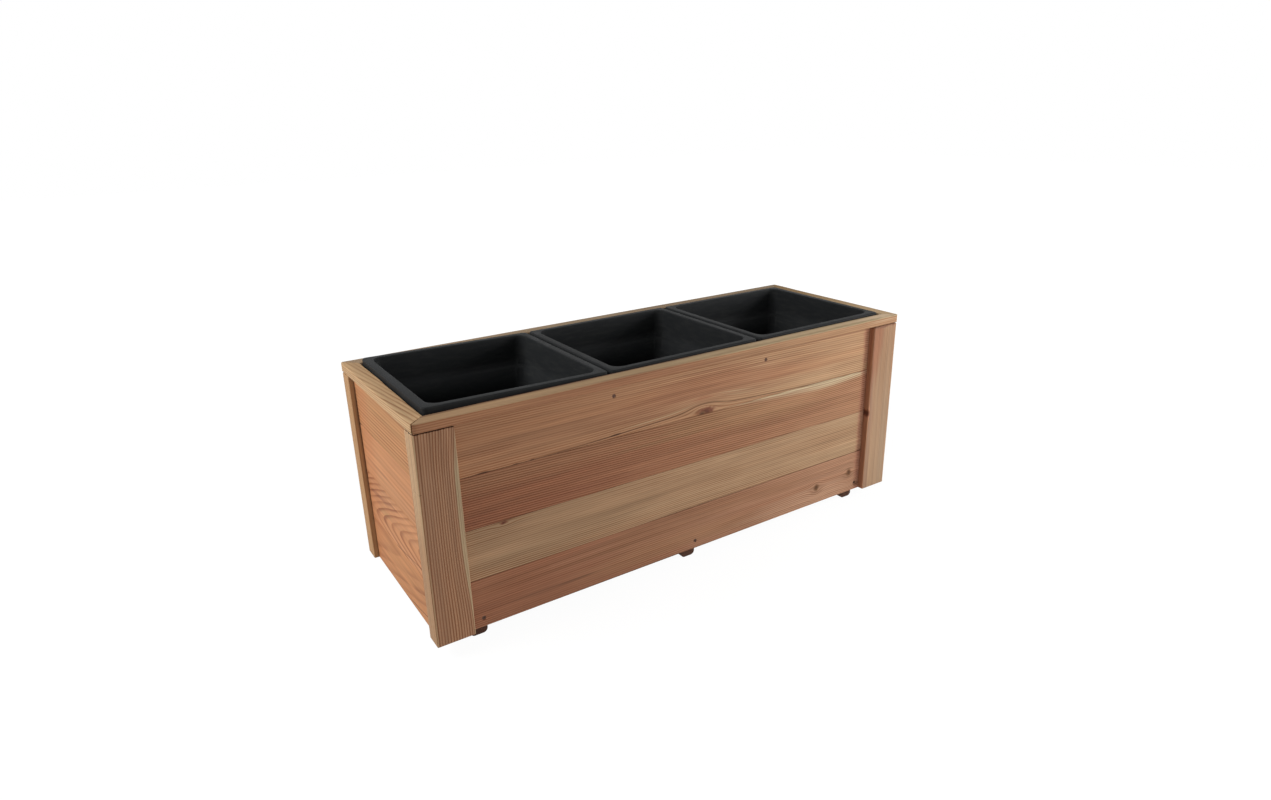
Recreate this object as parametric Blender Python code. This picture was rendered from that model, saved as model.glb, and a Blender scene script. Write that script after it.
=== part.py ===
"""Wooden planter box with three insert pots.

Metres, +Z up. The origin is on the ground under the middle of the box, +X runs along its length
to the right and +Y from the front wall to the back wall. Each wall is four tongue-and-groove
boards whose ends sit in grooves of the corner posts. Three bearers between the long walls are
the feet and carry the floor slats. Two cross rails between the long walls part the pots, whose
rims rest on the walls and on those rails. A mitred frame of four cap rails closes the top.
"""

import math

import bmesh
import bpy
from mathutils import Vector

# The box
LENGTH = 1.000  # over the posts
DEPTH = 0.357  # over the posts
WALL_HEIGHT = 0.3548  # posts and walls
CLEARANCE = 0.0003  # between pieces that meet

# Corner posts
POST_WIDTH = 0.0627  # seen from the front
POST_DEPTH = 0.0334  # seen from the side
POST_ROUND = 0.0025
GROOVE_DEPTH = 0.010

# Wall boards
WALL_THICKNESS = 0.018
LONG_WALL_RECESS = 0.012  # behind the posts' front faces
END_WALL_RECESS = 0.009  # behind the posts' side faces
BOARDS_PER_WALL = 4
BOARD_COVER = 0.0883
LONG_WALL_LOWEST_BOARD = 0.0860  # the lowest board is trimmed, and the top one takes what is left
END_WALL_LOWEST_BOARD = 0.0885
TONGUE_THICKNESS = 0.0055
TONGUE_HEIGHT = 0.006
END_TONGUE_THICKNESS = 0.008
BOARD_CHAMFER = 0.0004

# Cap rails
CAP_WIDTH = 0.0271
CAP_THICKNESS = 0.0156
CAP_OVERHANG_FRONT = 0.0035
CAP_OVERHANG_SIDE = 0.001
CAP_ROUND = 0.0025
CAP_CORNER_ROUND = 0.006

# Bearers, which are the feet
BEARER_NAMES = ("bearer_left", "bearer_middle", "bearer_right")
BEARER_WIDTH = 0.030
BEARER_HEIGHT = 0.050
BEARER_ROUND = 0.008
BEARER_DROP = 0.0245  # below the walls
BEARER_POST_GAP = 0.0015
BEARER_SCREW_DROP = 0.010  # below the bearer's top

# Floor slats
SLAT_NAMES = ("floor_slat_front", "floor_slat_middle", "floor_slat_back")
SLAT_THICKNESS = 0.018
SLAT_GAP = 0.012
SLAT_POST_GAP = 0.003
SLAT_END_GAP = 0.001
SLAT_CHAMFER = 0.001

# Cross rails between the pots
CROSS_RAIL_WIDTH = 0.027
CROSS_RAIL_HEIGHT = 0.038

# Insert pots
POT_NAMES = ("pot_left", "pot_middle", "pot_right")
POT_END_GAP = 0.0015  # to the cap at the box's ends
POT_SIDE_GAP = 0.0022  # to the cap at the front and the back
POT_GAP = 0.0065  # between two rims
POT_WALL = 0.003
POT_RIM_WIDTH = 0.0135
POT_RIM_HEIGHT = 0.0184
POT_RIM_ROUND = 0.004
POT_MOUTH_ROUND = 0.002
POT_RIM_CORNER = 0.012
POT_CORNER = 0.018
POT_TAPER = 0.012  # a side leans in by this much at the base
POT_LEDGE_DROP = 0.056  # under the rim's top
POT_LEDGE = 0.004
POT_BASE_ROUND = 0.006
LEFT_POT_LIFT = 0.0064  # the left pot's rim rides up by this much at the box's end

# Screws
SCREW_SHANK = 0.0019
SCREW_HEAD = 0.0034
SCREW_HEAD_DEPTH = 0.0022
SCREW_POINT = 0.004
SCREW_TIP = 0.0005
SCREW_SINK = 0.0006
WALL_SCREW_LENGTH = 0.050
SLAT_SCREW_LENGTH = 0.034
RAIL_SCREW_OFFSETS = (-0.0035, 0.0050)  # of the two upper front screws, along the wall
BEARER_SCREW_OFFSET = 0.0035  # of the lower front screws, along the wall

# Round shapes
ROUND_STEPS = 3
POT_CORNER_STEPS = 5
SCREW_SIDES = 14
SMOOTH_BELOW = 35  # degrees between faces that shade as one

# Levels and places worked out from the sizes above
WALL_BOTTOM = BEARER_DROP
WALL_TOP = WALL_BOTTOM + WALL_HEIGHT
BEARER_TOP = BEARER_HEIGHT
SLAT_BOTTOM = BEARER_TOP + CLEARANCE
SLAT_TOP = SLAT_BOTTOM + SLAT_THICKNESS
CAP_BOTTOM = WALL_TOP + CLEARANCE
INSIDE_DEPTH = DEPTH - 2 * (LONG_WALL_RECESS + WALL_THICKNESS)
INSIDE_LENGTH = LENGTH - 2 * (END_WALL_RECESS + WALL_THICKNESS)
CAP_OUTER_LENGTH = LENGTH + 2 * CAP_OVERHANG_SIDE
CAP_OUTER_DEPTH = DEPTH + 2 * CAP_OVERHANG_FRONT
CAP_INNER_LENGTH = CAP_OUTER_LENGTH - 2 * CAP_WIDTH
CAP_INNER_DEPTH = CAP_OUTER_DEPTH - 2 * CAP_WIDTH
POT_GAPS = (len(POT_NAMES) - 1) * POT_GAP
POT_LENGTH = (CAP_INNER_LENGTH - 2 * POT_END_GAP - POT_GAPS) / len(POT_NAMES)
POT_DEPTH = CAP_INNER_DEPTH - 2 * POT_SIDE_GAP
POT_PITCH = POT_LENGTH + POT_GAP
POT_RIM_BOTTOM = WALL_TOP + CLEARANCE
POT_BASE = SLAT_TOP + CLEARANCE
POT_HEIGHT = POT_RIM_BOTTOM + POT_RIM_HEIGHT - POT_BASE


def clear_scene():
    for obj in list(bpy.data.objects):
        bpy.data.objects.remove(obj)


def finish(name, colour, roughness, metallic=0.0):
    """A Principled material of one colour."""
    material = bpy.data.materials.new(name)
    material.use_nodes = True
    shader = material.node_tree.nodes["Principled BSDF"]
    shader.inputs["Base Color"].default_value = (*colour, 1.0)
    shader.inputs["Roughness"].default_value = roughness
    shader.inputs["Metallic"].default_value = metallic
    material.diffuse_color = (*colour, 1.0)
    return material


def add_object(name, mesh, material=None, parent=None, location=(0, 0, 0), turn=0.0):
    """An object of this mesh, turned about Z and placed under its parent."""
    obj = bpy.data.objects.new(name, mesh)
    bpy.context.scene.collection.objects.link(obj)
    obj.parent = parent
    obj.location = location
    obj.rotation_euler = (0.0, 0.0, turn)
    if mesh is not None and material is not None and not mesh.materials:
        mesh.materials.append(material)
    return obj


def as_cutter(obj):
    obj.hide_render = True
    obj.display_type = "WIRE"
    return obj


def cut(obj, cutter, operation="DIFFERENCE"):
    modifier = obj.modifiers.new(cutter.name, "BOOLEAN")
    modifier.operation = operation
    modifier.solver = "EXACT"
    modifier.object = cutter


def loft(name, rings, smooth=False):
    """A closed mesh through rings of equally many points, with a flat cap on the first and last."""
    shape = bmesh.new()
    rows = [[shape.verts.new(point) for point in ring] for ring in rings]
    count = len(rows[0])
    for low, high in zip(rows, rows[1:]):
        for i in range(count):
            j = (i + 1) % count
            shape.faces.new((low[i], low[j], high[j], high[i]))
    shape.faces.new(rows[0])
    shape.faces.new(rows[-1])
    bmesh.ops.recalc_face_normals(shape, faces=shape.faces)
    mesh = bpy.data.meshes.new(name)
    shape.to_mesh(mesh)
    shape.free()
    if smooth:
        mesh.shade_smooth()
        mesh.set_sharp_from_angle(angle=math.radians(SMOOTH_BELOW))
    return mesh


def box(name, low, high):
    """A mesh of a box between two corners."""
    outline = [(low[0], low[1]), (high[0], low[1]), (high[0], high[1]), (low[0], high[1])]
    return loft(name, [[(x, y, z) for x, y in outline] for z in (low[2], high[2])])


def rounded(corners, steps=ROUND_STEPS):
    """The outline through these (x, y, radius) corners, each rounded by an arc of its radius."""
    outline = []
    for i, (x, y, radius) in enumerate(corners):
        corner = Vector((x, y))
        if radius == 0:
            outline.append(corner)
            continue
        back = (Vector(corners[i - 1][:2]) - corner).normalized()
        ahead = (Vector(corners[(i + 1) % len(corners)][:2]) - corner).normalized()
        half = back.angle(ahead) / 2
        centre = corner + (back + ahead).normalized() * radius / math.sin(half)
        start = corner + back * radius / math.tan(half) - centre
        end = corner + ahead * radius / math.tan(half) - centre
        sweep = start.angle(end)
        for step in range(steps + 1):
            turned_by = sweep * step / steps
            arc = start * math.sin(sweep - turned_by) + end * math.sin(turned_by)
            outline.append(centre + arc / math.sin(sweep))
    return outline


def bar_along_x(name, outline, low, high):
    """A bar of this (y, z) outline from x = low to x = high."""
    return loft(name, [[(x, y, z) for y, z in outline] for x in (low, high)])


def bar_along_y(name, outline, low, high):
    """A bar of this (x, z) outline from y = low to y = high."""
    return loft(name, [[(x, y, z) for x, z in outline] for y in (low, high)])


def bar_along_z(name, outline, low, high):
    """A bar of this (x, y) outline from z = low to z = high."""
    return loft(name, [[(x, y, z) for x, y in outline] for z in (low, high)])


def turned(name, profile):
    """A mesh of this (radius, y) profile turned about Y."""
    rings = []
    for radius, y in profile:
        ring = []
        for side in range(SCREW_SIDES):
            angle = 2 * math.pi * side / SCREW_SIDES
            ring.append((radius * math.cos(angle), y, radius * math.sin(angle)))
        rings.append(ring)
    return loft(name, rings, smooth=True)


# Corner posts


def post_outline(side_x, side_y):
    """The section of one post, with a groove for each of its two walls."""
    half_groove = END_TONGUE_THICKNESS / 2 + CLEARANCE
    long_wall = LONG_WALL_RECESS + WALL_THICKNESS / 2
    end_wall = END_WALL_RECESS + WALL_THICKNESS / 2
    corners = [
        (0, 0, POST_ROUND),
        (POST_WIDTH, 0, POST_ROUND),
        (POST_WIDTH, long_wall - half_groove, 0),
        (POST_WIDTH - GROOVE_DEPTH, long_wall - half_groove, 0),
        (POST_WIDTH - GROOVE_DEPTH, long_wall + half_groove, 0),
        (POST_WIDTH, long_wall + half_groove, 0),
        (POST_WIDTH, POST_DEPTH, 0),
        (end_wall + half_groove, POST_DEPTH, 0),
        (end_wall + half_groove, POST_DEPTH - GROOVE_DEPTH, 0),
        (end_wall - half_groove, POST_DEPTH - GROOVE_DEPTH, 0),
        (end_wall - half_groove, POST_DEPTH, 0),
        (0, POST_DEPTH, POST_ROUND),
    ]
    return [(-side_x * x, -side_y * y) for x, y in rounded(corners)]


def make_posts(wood):
    for name, side_x, side_y in (
        ("post_front_left", -1, -1),
        ("post_front_right", 1, -1),
        ("post_back_left", -1, 1),
        ("post_back_right", 1, 1),
    ):
        mesh = bar_along_z(name, post_outline(side_x, side_y), 0, WALL_HEIGHT)
        corner = (side_x * LENGTH / 2, side_y * DEPTH / 2, WALL_BOTTOM)
        add_object(name, mesh, wood, location=corner)


# Walls of tongue-and-groove boards


def board_outline(bottom, top, has_groove, has_tongue):
    """The (y, z) section of a board: y = 0 is its outer face and y = WALL_THICKNESS its inner one."""
    low = bottom + (CLEARANCE / 2 if has_groove else 0)
    high = top - (CLEARANCE / 2 if has_tongue else 0)
    middle = WALL_THICKNESS / 2
    outline = [(0, high - BOARD_CHAMFER), (0, low + BOARD_CHAMFER), (BOARD_CHAMFER, low)]
    if has_groove:
        half = TONGUE_THICKNESS / 2 + CLEARANCE
        roof = low + TONGUE_HEIGHT + CLEARANCE
        outline += [(middle - half, low), (middle - half, roof)]
        outline += [(middle + half, roof), (middle + half, low)]
    outline += [(WALL_THICKNESS - BOARD_CHAMFER, low), (WALL_THICKNESS, low + BOARD_CHAMFER)]
    outline += [(WALL_THICKNESS, high - BOARD_CHAMFER), (WALL_THICKNESS - BOARD_CHAMFER, high)]
    if has_tongue:
        half = TONGUE_THICKNESS / 2
        crest = high + TONGUE_HEIGHT
        outline += [(middle + half, high), (middle + half, crest)]
        outline += [(middle - half, crest), (middle - half, high)]
    outline.append((BOARD_CHAMFER, high))
    return outline


def end_tongue_cutter(name, wall, half_length):
    """Two slabs at each end of a wall, which leave the tongues that sit in the posts' grooves."""
    middle = WALL_THICKNESS / 2
    inner = middle + END_TONGUE_THICKNESS / 2
    outer = middle - END_TONGUE_THICKNESS / 2
    margin = WALL_THICKNESS
    shoulder = half_length - CLEARANCE
    slabs = bmesh.new()
    for side in (-1, 1):
        for y_low, y_high in ((-margin, outer), (inner, WALL_THICKNESS + margin)):
            ends = sorted((side * shoulder, side * (half_length + 2 * GROOVE_DEPTH)))
            slab = box(name, (ends[0], y_low, -margin), (ends[1], y_high, WALL_HEIGHT + margin))
            slabs.from_mesh(slab)
            bpy.data.meshes.remove(slab)
    mesh = bpy.data.meshes.new(name)
    slabs.to_mesh(mesh)
    slabs.free()
    return as_cutter(add_object(name, mesh, parent=wall))


def board_edges(lowest):
    """The heights of a wall's board edges, from its top down, with a lowest board of this height."""
    joints = [lowest + step * BOARD_COVER for step in range(BOARDS_PER_WALL - 1)]
    return [WALL_HEIGHT, *reversed(joints), 0]


def make_wall(side, length, lowest, location, turn, wood):
    """Boards one above the other, from the top one, number 1, down. Returns the wall and its boards."""
    wall = add_object(f"{side}_wall", None, location=location, turn=turn)
    ends = end_tongue_cutter(f"{side}_end_tongues", wall, length / 2)
    reach = length / 2 + GROOVE_DEPTH - CLEARANCE
    edges = board_edges(lowest)
    boards = []
    for number, (top, bottom) in enumerate(zip(edges, edges[1:]), 1):
        outline = board_outline(bottom, top, number < BOARDS_PER_WALL, number > 1)
        name = f"{side}_board_{number}"
        board = add_object(name, bar_along_x(name, outline, -reach, reach), wood, parent=wall)
        cut(board, ends)
        boards.append(board)
    return wall, boards


def make_walls(wood):
    """The four walls, keyed by side. A wall's own +X runs to the right for someone who faces it."""
    front = LENGTH - 2 * POST_WIDTH
    end = DEPTH - 2 * POST_DEPTH
    y = DEPTH / 2 - LONG_WALL_RECESS
    x = LENGTH / 2 - END_WALL_RECESS
    long_lowest = LONG_WALL_LOWEST_BOARD
    end_lowest = END_WALL_LOWEST_BOARD
    return {
        "front": make_wall("front", front, long_lowest, (0, -y, WALL_BOTTOM), 0.0, wood),
        "back": make_wall("back", front, long_lowest, (0, y, WALL_BOTTOM), math.pi, wood),
        "left": make_wall("left", end, end_lowest, (-x, 0, WALL_BOTTOM), -math.pi / 2, wood),
        "right": make_wall("right", end, end_lowest, (x, 0, WALL_BOTTOM), math.pi / 2, wood),
    }


# Mitred frame of cap rails


def cap_outline():
    """The section of a cap rail as (distance from its inner edge, z) points."""
    return rounded(
        [
            (0, 0, 0),
            (CAP_WIDTH, 0, CAP_ROUND),
            (CAP_WIDTH, CAP_THICKNESS, CAP_ROUND),
            (0, CAP_THICKNESS, CAP_ROUND),
        ]
    )


def make_cap_rail(name, inner_length, inner_distance, turn, corners, wood):
    """A rail whose mitred ends stop half a clearance short of the corner's diagonal."""
    end = inner_length / 2 - CLEARANCE * math.sqrt(0.5)
    rings = []
    for side in (-1, 1):
        rings.append([(side * (end + out), -inner_distance - out, z) for out, z in cap_outline()])
    rail = add_object(name, loft(name, rings), wood, location=(0, 0, CAP_BOTTOM), turn=turn)
    cut(rail, corners, "INTERSECT")


def make_cap(wood):
    half_x = CAP_OUTER_LENGTH / 2
    half_y = CAP_OUTER_DEPTH / 2
    corners = [(-half_x, -half_y), (half_x, -half_y), (half_x, half_y), (-half_x, half_y)]
    outline = rounded([(x, y, CAP_CORNER_ROUND) for x, y in corners])
    mesh = bar_along_z("cap_corners", outline, CAP_BOTTOM - CAP_THICKNESS, CAP_BOTTOM + 2 * CAP_THICKNESS)
    corner_shape = as_cutter(add_object("cap_corners", mesh))
    for name, inner_length, inner_distance, turn in (
        ("cap_rail_front", CAP_INNER_LENGTH, CAP_INNER_DEPTH / 2, 0.0),
        ("cap_rail_back", CAP_INNER_LENGTH, CAP_INNER_DEPTH / 2, math.pi),
        ("cap_rail_left", CAP_INNER_DEPTH, CAP_INNER_LENGTH / 2, -math.pi / 2),
        ("cap_rail_right", CAP_INNER_DEPTH, CAP_INNER_LENGTH / 2, math.pi / 2),
    ):
        make_cap_rail(name, inner_length, inner_distance, turn, corner_shape, wood)


# Pieces that run from the front wall to the back wall


def bearer_places():
    """The x of each bearer, evenly spaced from post to post."""
    reach = LENGTH / 2 - POST_WIDTH - BEARER_POST_GAP - BEARER_WIDTH / 2
    steps = len(BEARER_NAMES) - 1
    return [-reach + 2 * reach * number / steps for number in range(len(BEARER_NAMES))]


def cross_rail_places():
    """The x of each cross rail, in the middle between two pots."""
    count = len(POT_NAMES) - 1
    return [(number - (count - 1) / 2) * POT_PITCH for number in range(count)]


def make_bearers(wood):
    half = BEARER_WIDTH / 2
    outline = rounded(
        [
            (-half, 0, BEARER_ROUND),
            (half, 0, BEARER_ROUND),
            (half, BEARER_HEIGHT, 0),
            (-half, BEARER_HEIGHT, 0),
        ]
    )
    reach = INSIDE_DEPTH / 2 - CLEARANCE
    bearers = []
    for name, x in zip(BEARER_NAMES, bearer_places()):
        mesh = bar_along_y(name, outline, -reach, reach)
        bearers.append(add_object(name, mesh, wood, location=(x, 0, 0)))
    return bearers


def make_cross_rails(wood):
    half = CROSS_RAIL_WIDTH / 2
    reach = INSIDE_DEPTH / 2 - CLEARANCE
    rails = []
    for number, x in enumerate(cross_rail_places(), 1):
        name = f"cross_rail_{number}"
        mesh = box(name, (-half, -reach, -CROSS_RAIL_HEIGHT), (half, reach, 0))
        rails.append(add_object(name, mesh, wood, location=(x, 0, WALL_TOP)))
    return rails


def slat_places():
    """The width of a floor slat, and the y of each."""
    inside = DEPTH - 2 * (POST_DEPTH + SLAT_POST_GAP)
    count = len(SLAT_NAMES)
    width = (inside - (count - 1) * SLAT_GAP) / count
    return width, [(number - (count - 1) / 2) * (width + SLAT_GAP) for number in range(count)]


def make_slats(wood):
    width, places = slat_places()
    half = width / 2
    reach = INSIDE_LENGTH / 2 - SLAT_END_GAP
    inset = half - SLAT_CHAMFER
    outline = [(-half, 0), (half, 0), (half, SLAT_THICKNESS - SLAT_CHAMFER), (inset, SLAT_THICKNESS)]
    outline += [(-inset, SLAT_THICKNESS), (-half, SLAT_THICKNESS - SLAT_CHAMFER)]
    slats = []
    for name, y in zip(SLAT_NAMES, places):
        mesh = bar_along_x(name, outline, -reach, reach)
        slats.append(add_object(name, mesh, wood, location=(0, y, SLAT_BOTTOM)))
    return slats


# Insert pots


def pot_ring(half_x, half_y, corner, z):
    """A level rounded rectangle of the pot, as points at this height."""
    outline = rounded(
        [
            (-half_x, -half_y, corner),
            (half_x, -half_y, corner),
            (half_x, half_y, corner),
            (-half_x, half_y, corner),
        ],
        POT_CORNER_STEPS,
    )
    return [(x, y, z) for x, y in outline]


def quarter_turn():
    """Shares (1 - cos, 1 - sin) of a radius along a quarter turn, from upright to level."""
    angles = [math.pi / 2 * step / ROUND_STEPS for step in range(ROUND_STEPS + 1)]
    return [(1 - math.cos(angle), 1 - math.sin(angle)) for angle in angles]


def pot_mesh():
    """The shell of a pot: up its outside, over the rim and down its inside. z = 0 is its base."""
    half_x = POT_LENGTH / 2
    half_y = POT_DEPTH / 2
    top = POT_HEIGHT
    ledge = top - POT_LEDGE_DROP
    lip_bottom = top - POT_RIM_HEIGHT
    mouth = POT_RIM_WIDTH
    body = POT_RIM_WIDTH - POT_WALL
    lean = POT_TAPER / top

    def side(inset, corner, z):
        """A ring this far inside the rim, leaning in with the depth, as the walls do."""
        draft = lean * (top - z)
        return pot_ring(half_x - inset - draft, half_y - inset - draft, corner, z)

    def level(inset, corner, z):
        """A ring this far inside the rim, on the upright lip."""
        return pot_ring(half_x - inset, half_y - inset, corner, z)

    outer_corner = POT_CORNER + POT_WALL
    lip_corner = POT_RIM_CORNER - POT_WALL / 2
    roll = [(POT_RIM_ROUND * near, POT_RIM_ROUND * far) for near, far in quarter_turn()]
    bend = [(POT_MOUTH_ROUND * near, POT_MOUTH_ROUND * far) for far, near in quarter_turn()]
    rings = [
        side(body + POT_LEDGE + POT_BASE_ROUND, outer_corner - POT_BASE_ROUND, 0),
        side(body + POT_LEDGE, outer_corner, POT_BASE_ROUND),
        side(body + POT_LEDGE, outer_corner, ledge - POT_WALL - POT_LEDGE),
        side(body, outer_corner, ledge - POT_WALL),
        side(body, outer_corner, top - POT_WALL),
        level(POT_WALL, lip_corner, top - POT_WALL),
        level(POT_WALL, lip_corner, lip_bottom),
        level(0, POT_RIM_CORNER, lip_bottom),
        *[level(inward, POT_RIM_CORNER - inward, top - down) for inward, down in roll],
        *[level(mouth - outward, POT_CORNER + outward, top - down) for outward, down in bend],
        side(mouth, POT_CORNER, ledge),
        side(mouth + POT_LEDGE, POT_CORNER, ledge - POT_LEDGE),
        side(mouth + POT_LEDGE, POT_CORNER, POT_WALL + POT_BASE_ROUND),
        side(mouth + POT_LEDGE + POT_BASE_ROUND, POT_CORNER - POT_BASE_ROUND, POT_WALL),
    ]
    return loft("pot", rings, smooth=True)


def make_pots(plastic):
    """Pots in a row, each hanging from a seat at the foot of its rim's right side, where it tilts."""
    mesh = pot_mesh()
    count = len(POT_NAMES)
    rim_foot = POT_HEIGHT - POT_RIM_HEIGHT
    for number, name in enumerate(POT_NAMES):
        x = (number - (count - 1) / 2) * POT_PITCH
        seat = add_object(f"{name}_seat", None, location=(x + POT_LENGTH / 2, 0, POT_RIM_BOTTOM))
        if number == 0:
            seat.rotation_euler = (0.0, math.asin(LEFT_POT_LIFT / POT_LENGTH), 0.0)
        add_object(name, mesh, plastic, parent=seat, location=(-POT_LENGTH / 2, 0, -rim_foot))


# Screws


def screw_profile(length, grow=0.0, above=0.0):
    """A countersunk screw along +Y from its head's face at y = 0, or with grow its hole."""
    shank = SCREW_SHANK + grow
    head = SCREW_HEAD + grow
    neck = SCREW_HEAD_DEPTH + grow
    profile = [(head, -above)]
    if above:
        profile.append((head, 0))
    profile += [(shank, neck), (shank, length - SCREW_POINT), (SCREW_TIP + grow, length + grow)]
    return profile


def make_screw(name, length, parent, location, pitch, drilled, steel):
    """A screw and its hole through the pieces that it holds. A pitch of 0 points it along +Y."""
    for label, mesh in (
        (name, turned(name, screw_profile(length))),
        (f"{name}_hole", turned(f"{name}_hole", screw_profile(length, CLEARANCE, 2 * SCREW_SINK))),
    ):
        obj = add_object(label, mesh, steel, parent=parent, location=location)
        obj.rotation_euler = (pitch, 0.0, 0.0)
    as_cutter(obj)
    for piece in drilled:
        cut(piece, obj)


def make_wall_screws(walls, bearers, cross_rails, steel):
    """Screws through the long walls into the ends of the cross rails and the bearers."""
    rail_height = WALL_HEIGHT - CROSS_RAIL_HEIGHT / 2
    bearer_height = BEARER_TOP - BEARER_SCREW_DROP - WALL_BOTTOM
    for side, facing in (("front", 1), ("back", -1)):
        wall, boards = walls[side]
        for number, (x, rail) in enumerate(zip(cross_rail_places(), cross_rails)):
            offset = RAIL_SCREW_OFFSETS[number % len(RAIL_SCREW_OFFSETS)] if side == "front" else 0
            place = (facing * x + offset, SCREW_SINK, rail_height)
            name = f"screw_{side}_top_{number + 1}"
            make_screw(name, WALL_SCREW_LENGTH, wall, place, 0.0, (boards[0], rail), steel)
        for number, (x, bearer) in enumerate(zip(bearer_places(), bearers), 1):
            place = (facing * x + BEARER_SCREW_OFFSET, SCREW_SINK, bearer_height)
            name = f"screw_{side}_bottom_{number}"
            make_screw(name, WALL_SCREW_LENGTH, wall, place, 0.0, (boards[-1], bearer), steel)


def make_slat_screws(slats, bearers, steel):
    """Screws down through each floor slat into each bearer."""
    places = slat_places()[1]
    for row, (y, slat) in enumerate(zip(places, slats), 1):
        for column, (x, bearer) in enumerate(zip(bearer_places(), bearers), 1):
            name = f"slat_screw_{row}_{column}"
            place = (x, y, SLAT_TOP - SCREW_SINK)
            make_screw(name, SLAT_SCREW_LENGTH, None, place, -math.pi / 2, (slat, bearer), steel)


def main():
    clear_scene()
    post_wood = finish("post_wood", (0.36, 0.21, 0.13), 0.6)
    board_wood = finish("board_wood", (0.42, 0.24, 0.14), 0.6)
    cap_wood = finish("cap_wood", (0.50, 0.33, 0.19), 0.6)
    hidden_wood = finish("hidden_wood", (0.30, 0.17, 0.10), 0.7)
    plastic = finish("pot_plastic", (0.045, 0.047, 0.046), 0.45)
    steel = finish("screw_steel", (0.35, 0.34, 0.32), 0.4, 1.0)
    make_posts(post_wood)
    walls = make_walls(board_wood)
    make_cap(cap_wood)
    bearers = make_bearers(hidden_wood)
    cross_rails = make_cross_rails(hidden_wood)
    slats = make_slats(hidden_wood)
    make_pots(plastic)
    make_wall_screws(walls, bearers, cross_rails, steel)
    make_slat_screws(slats, bearers, steel)


main()
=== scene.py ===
# %% [markdown]
# # A softwood planter box with three plastic pots
#
# This lesson dresses a planter box, about a metre long. Its walls are tongue-and-groove boards
# between four corner posts, and a mitred frame closes the top. Three dark plastic pots hang in it.
# The construction comes ready-made, as one object for each board, post and screw. Here the pieces
# that need a finer surface are made again with numpy, and every piece gets its finish from nodes.

# %% Load the construction
import math

import bmesh
import bpy
import numpy as np
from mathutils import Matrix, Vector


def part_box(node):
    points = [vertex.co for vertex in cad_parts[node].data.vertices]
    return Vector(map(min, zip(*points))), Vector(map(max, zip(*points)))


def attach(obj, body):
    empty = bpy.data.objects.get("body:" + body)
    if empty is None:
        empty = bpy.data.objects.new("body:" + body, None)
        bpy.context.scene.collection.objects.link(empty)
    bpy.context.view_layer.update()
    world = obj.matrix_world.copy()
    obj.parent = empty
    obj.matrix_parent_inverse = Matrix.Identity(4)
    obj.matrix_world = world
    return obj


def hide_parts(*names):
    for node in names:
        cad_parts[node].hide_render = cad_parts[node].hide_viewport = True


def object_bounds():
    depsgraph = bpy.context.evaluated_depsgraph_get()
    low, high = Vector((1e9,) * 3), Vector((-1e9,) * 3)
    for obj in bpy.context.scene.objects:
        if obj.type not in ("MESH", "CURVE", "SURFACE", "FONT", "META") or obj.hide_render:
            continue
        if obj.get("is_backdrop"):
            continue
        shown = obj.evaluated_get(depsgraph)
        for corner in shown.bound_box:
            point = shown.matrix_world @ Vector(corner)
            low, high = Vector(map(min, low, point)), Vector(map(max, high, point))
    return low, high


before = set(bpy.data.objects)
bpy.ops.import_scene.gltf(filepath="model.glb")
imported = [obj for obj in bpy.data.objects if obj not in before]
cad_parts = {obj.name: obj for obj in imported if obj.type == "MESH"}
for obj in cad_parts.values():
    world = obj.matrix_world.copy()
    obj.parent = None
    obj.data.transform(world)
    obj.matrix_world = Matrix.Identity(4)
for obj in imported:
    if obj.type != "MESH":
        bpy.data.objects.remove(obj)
cad_low, cad_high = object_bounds()
print("pieces:", len(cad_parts), "box in metres:", [round(x, 4) for x in cad_high - cad_low])

# %% [markdown]
# ## The camera
#
# A photograph of a box gives away where it was taken from: the edges that are parallel on the real
# thing run together in the picture, and only one lens and one place fit them all. These values come
# from such a fit to the corners of the box. The camera is a little above it, to the left of its
# front, with a wide lens. Three angles set its direction, which is easier to read than a matrix.

# %% Place the camera
CAMERA_PLACE = (-0.8111, -1.2329, 0.8096)
CAMERA_TILT = 69.886  # degrees up from looking straight down
CAMERA_ROLL = 1.223
CAMERA_HEADING = -33.359
CAMERA_LENS = 23.247  # millimetres
SENSOR_WIDTH = 36.0

camera_data = bpy.data.cameras.new("camera")
camera_data.lens = CAMERA_LENS
camera_data.sensor_width = SENSOR_WIDTH
camera = bpy.data.objects.new("camera", camera_data)
bpy.context.scene.collection.objects.link(camera)
camera.location = CAMERA_PLACE
angles = (CAMERA_TILT, CAMERA_ROLL, CAMERA_HEADING)
camera.rotation_euler = [math.radians(angle) for angle in angles]
bpy.context.scene.camera = camera
bpy.context.scene.view_settings.view_transform = "Standard"
field = 2 * math.degrees(math.atan(SENSOR_WIDTH / 2 / CAMERA_LENS))
print("the camera sees", round(field), "degrees across")

# %% [markdown]
# ## Sums in a material
#
# A finish is a small calculation that Blender repeats at every point of a surface. Wired by hand it
# becomes a web of Math nodes that nobody can read. Python lets a class say what + and * mean, so
# here an `Amount` stands for one socket, and a sum of amounts adds the Math nodes by itself. All
# other nodes come from one method, `node`, which sets the node up and then fills its inputs.

# %% Amounts


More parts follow.
